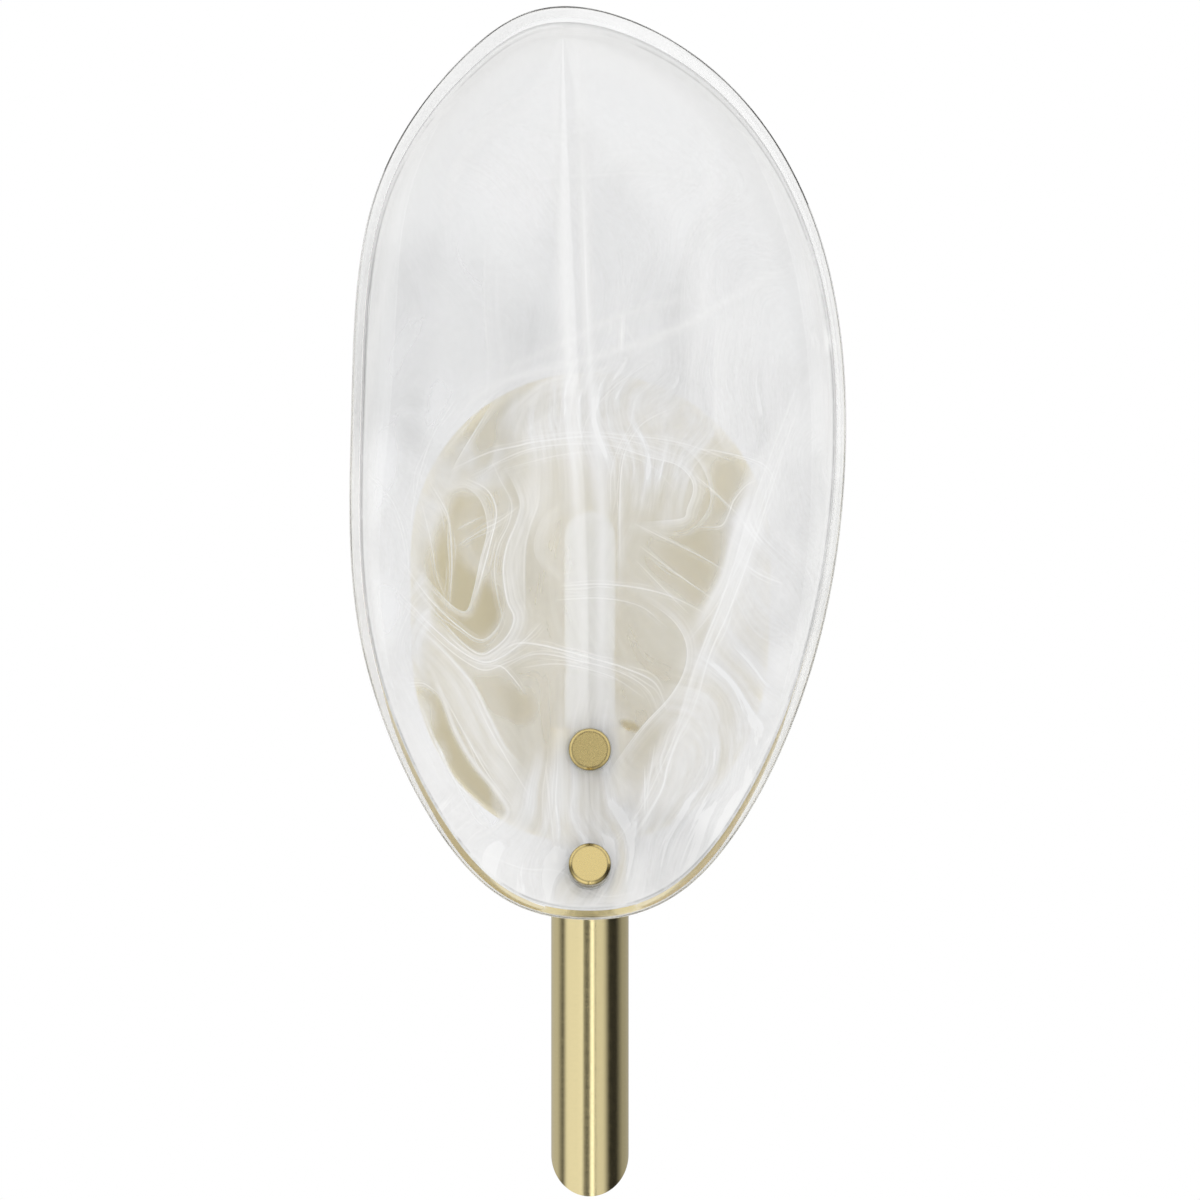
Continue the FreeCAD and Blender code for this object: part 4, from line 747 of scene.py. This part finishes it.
def swirl_layers(flat, swirls, spread):
    """Swirls packed into few layers, none touching another in its layer.

    A layer holds, for each point, its distance from the swirl's run over the
    swirl's width (to the right, or to the left for a width below zero), its
    distance along the run in millimetres, counted on from one swirl to the next,
    and the swirl's milk, which rises and falls along the run as the root of a half sine.
    """
    layers = []
    for number, (pixels, width, milk) in enumerate(swirls):
        run = smooth_run(at_pixel(pixels))
        span = abs(width) * MM * spread + CLEAR_OF
        low, high = run.min(axis=0) - span - CLEAR_OF, run.max(axis=0) + span + CLEAR_OF
        near = np.flatnonzero(((flat > low) & (flat < high)).all(axis=1))
        away2 = ((flat[near, None, :] - run[None, :, :]) ** 2).sum(axis=2)
        closest = away2.argmin(axis=1)
        away = np.sqrt(away2.min(axis=1))
        chord = np.gradient(run, axis=0)
        length = np.linalg.norm(chord, axis=1)
        forward = chord / length[:, None]
        right = np.stack((forward[:, 1], -forward[:, 0]), axis=1)
        offset = flat[near] - run[closest]
        side = (offset * right[closest]).sum(axis=1)
        gone = np.cumsum(length)
        gone, whole = gone[closest] - gone[0] + (offset * forward[closest]).sum(axis=1), gone[-1] - gone[0]
        rise = np.sin(np.pi * np.clip(gone / whole, 0, 1)).clip(0) ** 0.5
        pattern = gone / MM + number * APART
        field = np.stack((side / (width * MM), pattern, milk * rise * (away < span)), axis=1)
        inside = away < span + CLEAR_OF
        taken = near[inside]
        for layer, used in layers:
            if not used[taken].any():
                break
        else:
            layer, used = np.zeros((len(flat), 3)), np.zeros(len(flat), dtype=bool)
            layers.append((layer, used))
        layer[taken] = field[inside]
        used[taken] = True
    return [layer for layer, used in layers]


def soft_ovals(x, y, ovals):
    """What is left of 1 after each oval takes its share, fading over the oval's border."""
    left = np.ones_like(x)
    for (px, py), (wide, high), turn, share in ovals:
        c, s = math.cos(math.radians(turn)), math.sin(math.radians(turn))
        across, up = x - px, py - y
        out = np.hypot((c * across + s * up) / wide, (c * up - s * across) / high)
        border = np.clip((OVAL_BORDER[0] - out) / OVAL_BORDER[1], 0, 1)
        left *= 1 - share * border**2 * (3 - 2 * border)
    return left


def in_picture(flat, reach):
    """The picture's pixels where points are seen, moved by waves of up to 15 pixels so that borders waver."""
    scale = scale_at(reach)
    x = PICTURE / 2 + (flat[:, 0] - camera.location.x) / scale
    y = PICTURE / 2 - (flat[:, 1] - camera.location.z) / scale
    wave_x = 9 * np.sin(y / 21 + 1) + 6 * np.sin(x / 15 + y / 27)
    wave_y = 9 * np.sin(x / 24 + 2) + 6 * np.sin(y / 17 - x / 29)
    return x + wave_x, y + wave_y


SHEET_ROUND, SHEET_ALONG = 300, 140
SHEET_DEPTHS = (0.44, 0.56)  # where its two faces lie in the wall
SHEET_END = 1.012  # share of the way to the rim line
SHEET_HOLE = 0.0006  # how much wider its holes are than the glass's
RIM_MILK = ((0.88, 0.95, 0.985, 1.0), (0.0, 0.38, 0.75, 0.98))  # painted light: milk that whitens the glass towards the rim line, over the share of the way

outwards = np.linspace(0, SHEET_END, SHEET_ALONG + 1)[1:]
flat = centre + (rim_line(turns(SHEET_ROUND)) - centre)[:, None, :] * outwards[None, :, None]
front_face, back_face = (on_wall(flat, depth) for depth in SHEET_DEPTHS)
veil = closed_skin("milky_swirls", np.concatenate((front_face, back_face[:, ::-1]), axis=1),
                   *(on_wall(centre, depth) for depth in SHEET_DEPTHS))
drill(veil, HOLE_RADIUS + SHEET_HOLE)
veil.data.shade_smooth()

points = points_of(veil)
flat = points[:, [0, 2]]
seen = in_picture(flat, -points[:, 1])
keep_value(veil, "milk_cloud", (1 - soft_ovals(*seen, CLOUDS)) * soft_ovals(*seen, CLEARINGS))
keep_value(veil, "painted_milk_shade", 1 - soft_ovals(*seen, PAINTED_SHADES))
keep_value(veil, "rim_painted_milk", np.interp(rim_share(flat[:, 0], flat[:, 1])[0], *RIM_MILK))
layers = {kind: swirl_layers(flat, swirls, SPREAD[kind])
          for kind, swirls in (("veil", VEILS), ("streak", STREAKS), ("thread", THREADS))}
for kind, fields in layers.items():
    for number, field in enumerate(fields, start=1):
        keep_value(veil, f"{kind}_{number}", field)

STRONG = (0.30, 0.65)  # milk at which a veil starts to have a crisp edge, and has it in full
CRISP, SOFT = (-0.03, 0.03), (0.0, 0.35)  # where the edge of a strong and of a weak veil rises, in its widths
VEIL_FALL = 1.3  # power with which a veil fades out over its width
EDGE_LINE = (450.0, 0.9)  # how narrow the line along a strong veil's edge is, and how milky
WISP_STRETCH = (7.0, 0.03)  # wisps across a veil's width, and for each millimetre along it
WISPS, WEAK_WISPS = (0.32, 0.68, 0.35, 1.0), 0.8
DRIFT, WANDER = 0.05, 16.0  # how often strands wander for each millimetre, and how many half widths far
# Each strand beside a thread: the channel that moves it, the one that shows it, its middle and its milk.
STRANDS = ((0, 1, 2.6, 0.65), (2, 0, -2.6, 0.55), (1, 2, 4.5, 0.40))
STRAND_NARROW, STRAND_SHOWN = 1.3, (0.42, 0.56)
HAZE = (0.05, 0.22)  # how narrow the haze around a thread is, and how milky


def swirl_group(kind):
    """One layer of veils, streaks or threads: (Vector of side, along, milk) to how milky it is.

    A streak is one bell over its side. A veil rises at its edge and fades out in
    wisps, and a thread has three strands that wander beside it, and a haze.
    """
    group, into, out = mask_group(f"{kind}_layer", [("Swirl", "NodeSocketVector")], ["Milk"])
    side, along, milk = node(group, "ShaderNodeSeparateXYZ", {0: into[0]}).outputs
    if kind == "veil":
        strong = ramp(group, milk, *STRONG)
        crisp, soft = (ramp(group, side, *edge, smooth=True) for edge in (CRISP, SOFT))
        inside = between(group, strong, soft, crisp)
        fade_out = maths(group, "POWER", ramp(group, side, 0.0, 1.0, 1.0, 0.0), VEIL_FALL)
        grain = node(group, "ShaderNodeCombineXYZ", {0: product(group, side, WISP_STRETCH[0]),
                                                     1: product(group, along, WISP_STRETCH[1]), 2: milk})
        wisp = ramp(group, noise(group, grain.outputs[0], 1.0, 4.0, Distortion=0.1), *WISPS)
        body = product(group, inside, fade_out, between(group, strong, WEAK_WISPS, wisp))
        edge_line = product(group, bell(group, side, EDGE_LINE[0]), strong, EDGE_LINE[1])
        line = maths(group, "MAXIMUM", body, edge_line)
    else:
        line = bell(group, side)
    if kind == "thread":
        drift = node(group, "ShaderNodeCombineXYZ", {0: product(group, along, DRIFT)}).outputs[0]
        drift = noise(group, drift, 1.0, 1.5, output="Color")
        drift = node(group, "ShaderNodeSeparateColor", {0: drift}).outputs
        for moved_by, shown_by, middle, strength in STRANDS:
            wander = product(group, maths(group, "SUBTRACT", drift[moved_by], 0.5), WANDER)
            off = maths(group, "SUBTRACT", maths(group, "SUBTRACT", side, middle), wander)
            shown = ramp(group, drift[shown_by], *STRAND_SHOWN, 0.0, strength)
            line = maths(group, "MAXIMUM", line, product(group, bell(group, off, STRAND_NARROW), shown))
        line = maths(group, "MAXIMUM", line, product(group, bell(group, side, HAZE[0]), HAZE[1]))
    group.links.new(maths(group, "MULTIPLY", line, milk, clamp=True), out[0])
    return group


CLOUD_TONE, SHADE_TONE = (0.925, 0.925, 0.922, 1.0), (0.0, 0.0, 0.0, 1.0)
# Drawn milk is whiter than the clouds; on the fold's streaks and the glints this whiter tone is painted highlight.
THREAD_AND_HIGHLIGHT_TONE = (1.0, 1.0, 0.995, 1.0)
FOLD_SCALE, FOLD_SIZE = 12.0, (0.14, 0.0, 0.14)  # the large folds that bend the fine streaks
LEAN, DRAWN_OUT = 28, (1.0, 0.0, 0.14)  # how the fine streaks lean, in degrees, and are drawn out
FINE_SCALE, FINE = 150.0, (0.30, 0.70, 0.62, 1.22)  # fine streaks in the clouds
THIN = (0.45, 0.75, 0.12, 1.0)  # they are weak where the cloud is thin
THIN_LEVEL = 0.9  # and this is what stands in for them
HAIR_SCALE, HAIR = 46.0, (0.0, 0.018, 0.42, 0.0)  # hair lines along the middle level of a noise
HAIR_WHERE = (0.58, 0.95)  # and the cloud that they start in, and show in full

milky, tree, shader = material("milky_swirls")


def under(clear, milk):
    """How clear it stays under one more layer of milk."""
    return product(tree, clear, maths(tree, "SUBTRACT", 1.0, milk, clamp=True))


clear = 1.0
for kind, fields in layers.items():
    layer_group = swirl_group(kind)
    for number in range(1, len(fields) + 1):
        held = kept(tree, f"{kind}_{number}", "Vector")
        clear = under(clear, node(tree, "ShaderNodeGroup", {0: held}, node_tree=layer_group).outputs[0])
drawn_milk = maths(tree, "SUBTRACT", 1.0, clear, clamp=True)
# Painted shade greys the clouds' tone in the listed ovals.
tone = colour_between(tree, kept(tree, "painted_milk_shade"), CLOUD_TONE, SHADE_TONE)
tone = colour_between(tree, drawn_milk, tone, THREAD_AND_HIGHLIGHT_TONE)

place = place_on(tree)
folds = vectors(tree, "SUBTRACT", noise(tree, place, FOLD_SCALE, 1.5, output="Color"), (0.5, 0.5, 0.5))
folded = vectors(tree, "ADD", place, vectors(tree, "MULTIPLY", folds, FOLD_SIZE))
drawn = node(tree, "ShaderNodeMapping", {"Vector": folded, "Rotation": (0.0, math.radians(LEAN), 0.0),
                                         "Scale": DRAWN_OUT}).outputs[0]
cloud = kept(tree, "milk_cloud")
fine = ramp(tree, noise(tree, drawn, FINE_SCALE, 5.0, Roughness=0.55), *FINE)
fine = between(tree, ramp(tree, cloud, *THIN), THIN_LEVEL, fine)
clear = under(clear, maths(tree, "MULTIPLY", cloud, fine, clamp=True))
hair = maths(tree, "ABSOLUTE", maths(tree, "SUBTRACT", noise(tree, drawn, HAIR_SCALE, 2.0), 0.5))
hair = ramp(tree, hair, *HAIR, smooth=True)
clear = under(clear, maths(tree, "MULTIPLY", hair, ramp(tree, cloud, *HAIR_WHERE), clamp=True))
# Painted light: milk towards the rim line brightens the rim band.
clear = under(clear, kept(tree, "rim_painted_milk"))
# Light meets both faces of the sheet, so each one has the root of what stays clear.
one_face = maths(tree, "SUBTRACT", 1.0, maths(tree, "POWER", clear, 0.5), clamp=True)
fill(tree, shader, {"Base Color": tone, "Alpha": one_face, "Roughness": 0.9, "Specular IOR Level": 0.0})
dress(veil.data, milky)
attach(veil, "fixture")


# --- Brass ---
# The plate, the arm and the tube are brushed brass under clear lacquer, the
# cap and the core are turned brass, and the knobs are satin.

def grain_group():
    """Fine scratches and soft clouds: (Vector, Fineness) to two masks that change over the surface."""
    sockets = [("Vector", "NodeSocketVector"), ("Fineness", "NodeSocketFloat")]
    group, into, out = mask_group("fine_grain", sockets, ["Grain", "Clouds"])
    fill(group, out[0].node, {0: noise(group, into[0], into[1], 3.0), 1: noise(group, into[0], 9.0, 2.0)})
    return group


GRAIN = grain_group()
MIDDLE_GRAIN = (0.25, 0.75)  # between these marks of the grain brass is duller
RELIEF_DEPTH = 0.0001


def grained(tree, place, fineness):
    """The two masks of the fine grain over a place: scratches and clouds."""
    return node(tree, "ShaderNodeGroup", {0: place, 1: fineness}, node_tree=GRAIN).outputs


def shaded(tree, mask, tone, shade):
    """A tone that is darker by a share where the mask is low."""
    return colour_between(tree, mask, tuple(c * (1 - shade) for c in tone) + (1.0,), tone + (1.0,))


def brass(name, tone, stretch, rough, fineness=60.0, marks=0.12, shade=0.10, relief=0.06):
    """Brass with grain along one direction: stretch is how closely the lines lie along X, Y and Z."""
    made, tree, shader = material(name)
    drawn = node(tree, "ShaderNodeMapping", {"Vector": place_on(tree), "Scale": stretch}).outputs[0]
    grain = grained(tree, drawn, fineness)[0]
    bump = node(tree, "ShaderNodeBump", {"Strength": relief, "Distance": RELIEF_DEPTH, "Height": grain})
    fill(tree, shader, {"Base Color": shaded(tree, grain, tone, shade), "Metallic": 1.0, "Normal": bump.outputs[0],
                        "Roughness": ramp(tree, grain, *MIDDLE_GRAIN, rough - marks / 2, rough + marks / 2)})
    return made


KNOB_RADIUS, RIM_SHADE_LEFT = 0.0068, 0.40  # painted shade: its rim is darkened to this share of its tone
RING_RADIUS, RING_WIDTH, RING_DARK = 0.00575, 0.00022, 0.38  # painted shade: the fine dark line painted where the face meets the bevel
FACE_WORN, BEVEL_ROUGH = 0.82, 0.18  # the face is duller than the polished bevel
BORDER, RIM_BORDER = 0.0005, 0.0001  # how wide the changes between them are


def knob_brass(name, height):
    """Satin brass of one knob: a grained face, a fine dark line of painted shade where the face meets the bevel, a
    polished bevel and a rim darkened by painted shade.
    """
    made = brass(name, (0.86, 0.69, 0.31), (9.0, 9.0, 9.0), 0.27, fineness=330.0, marks=0.05)
    tree, shader = made.node_tree, made.node_tree.nodes["Principled BSDF"]
    base, axis = fixing(height)
    from_axis = vectors(tree, "CROSS_PRODUCT", vectors(tree, "SUBTRACT", place_on(tree), base), axis)
    radius = node(tree, "ShaderNodeVectorMath", {0: from_axis}, operation="LENGTH").outputs["Value"]
    line = bell(tree, maths(tree, "DIVIDE", maths(tree, "SUBTRACT", radius, RING_RADIUS), RING_WIDTH))
    unlined = maths(tree, "SUBTRACT", 1.0, product(tree, line, RING_DARK))
    worn = ramp(tree, radius, RING_RADIUS, RING_RADIUS + BORDER, FACE_WORN, 1.0)
    rim_shade = ramp(tree, radius, KNOB_RADIUS - BORDER, KNOB_RADIUS - RIM_BORDER, 1.0, RIM_SHADE_LEFT)
    tone, satin = (shader.inputs[name].links[0].from_socket for name in ("Base Color", "Roughness"))
    polished = maths(tree, "GREATER_THAN", radius, RING_RADIUS)
    # Painted shade: a dark line at the bevel's inner edge and a darkened rim, on top of the duller face.
    dulled_and_shaded = product(tree, worn, unlined, rim_shade)
    fill(tree, shader, {"Base Color": colour_between(tree, 1.0, tone, dulled_and_shaded, blend_type="MULTIPLY"),
                        "Roughness": between(tree, polished, satin, BEVEL_ROUGH)})
    return made


def dress_nodes(finish, names):
    """Gives CAD nodes a finish."""
    for name in names.split():
        dress(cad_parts[name].data, finish)


dress_nodes(brass("brushed_tube", (0.79, 0.68, 0.38), (4.0, 4.0, 60.0), 0.18, relief=0.22), "tube tube_end_plate")
dress_nodes(brass("brushed_plate", (0.905, 0.81, 0.54), (60.0, 1.0, 1.0), 0.50), "back_plate")
dress_nodes(brass("brushed_arm", (0.80, 0.69, 0.41), (1.0, 1.0, 50.0), 0.26), "arm")
dress_nodes(brass("turned_brass", (0.84, 0.70, 0.38), (1.0, 1.0, 60.0), 0.16), "tube_cap tube_core plate_screws")
dress_nodes(brass("contact_brass", (0.80, 0.66, 0.36), (6.0, 6.0, 6.0), 0.22), "holder_contacts")
dress_nodes(knob_brass("upper_knob_brass", FIXINGS[0]), "upper_knob")
dress_nodes(knob_brass("lower_knob_brass", FIXINGS[1]), "lower_knob")


# --- Steel, sleeves, lamp and leads ---
# Zinc plated crossbar and screws, clear plastic sleeves, the ceramic holder,
# the opal lamp and the insulated leads.

PLAIN_FINENESS, PLAIN_MARKS = 90.0, 0.15


def plain(name, tone, rough, metallic=0.0, transmission=0.0, shade=0.05, coat=0.0):
    """A moulded, glazed or plated finish with faint clouds and fine grain."""
    made, tree, shader = material(name)
    grain, clouds = grained(tree, place_on(tree), PLAIN_FINENESS)
    fill(tree, shader, {
        "Base Color": shaded(tree, clouds, tone, shade), "Metallic": metallic, "Transmission Weight": transmission,
        "Roughness": ramp(tree, grain, 0.0, 1.0, rough * (1 - PLAIN_MARKS), rough * (1 + PLAIN_MARKS)),
        "Coat Weight": coat})
    return made


dress_nodes(plain("zinc_steel", (0.66, 0.67, 0.68), 0.38, metallic=1.0, shade=0.12),
            "mounting_strap earth_screw earth_tags clamp_screws block_screw arm_screws lock_washers "
            "upper_stud lower_stud holder_screws lamp_pins")
dress_nodes(plain("clear_sleeve", (0.95, 0.96, 0.96), 0.08, transmission=1.0),
            "upper_seat lower_seat upper_grommet lower_grommet upper_washer lower_washer")
dress_nodes(plain("white_plastic", (0.86, 0.86, 0.84), 0.45), "terminal_block lamp_board")
dress_nodes(plain("glazed_ceramic", (0.88, 0.86, 0.80), 0.22, coat=0.4), "holder_body lamp_base")
dress_nodes(plain("opal_glass", (0.90, 0.88, 0.80), 0.30, coat=0.3, shade=0.02), "lamp_envelope")
dress_nodes(plain("brown_insulation", (0.19, 0.09, 0.045), 0.55), "live_lead")
dress_nodes(plain("blue_insulation", (0.03, 0.11, 0.42), 0.55), "neutral_lead")

EARTH_GREEN, EARTH_YELLOW = (0.10, 0.38, 0.05), (0.85, 0.62, 0.03, 1.0)
STRIPE = (0.72, 0.80)  # how far a surface faces sideways where the yellow starts, and is full

earth = plain("earth_insulation", EARTH_GREEN, 0.55)
tree, shader = earth.node_tree, earth.node_tree.nodes["Principled BSDF"]
normal = node(tree, "ShaderNodeTexCoord").outputs["Normal"]
facing = node(tree, "ShaderNodeSeparateXYZ", {0: normal}).outputs["X"]
striped = ramp(tree, maths(tree, "ABSOLUTE", facing), *STRIPE)
green = shader.inputs["Base Color"].links[0].from_socket
fill(tree, shader, {"Base Color": colour_between(tree, striped, green, EARTH_YELLOW)})
dress_nodes(earth, "earth_lead")
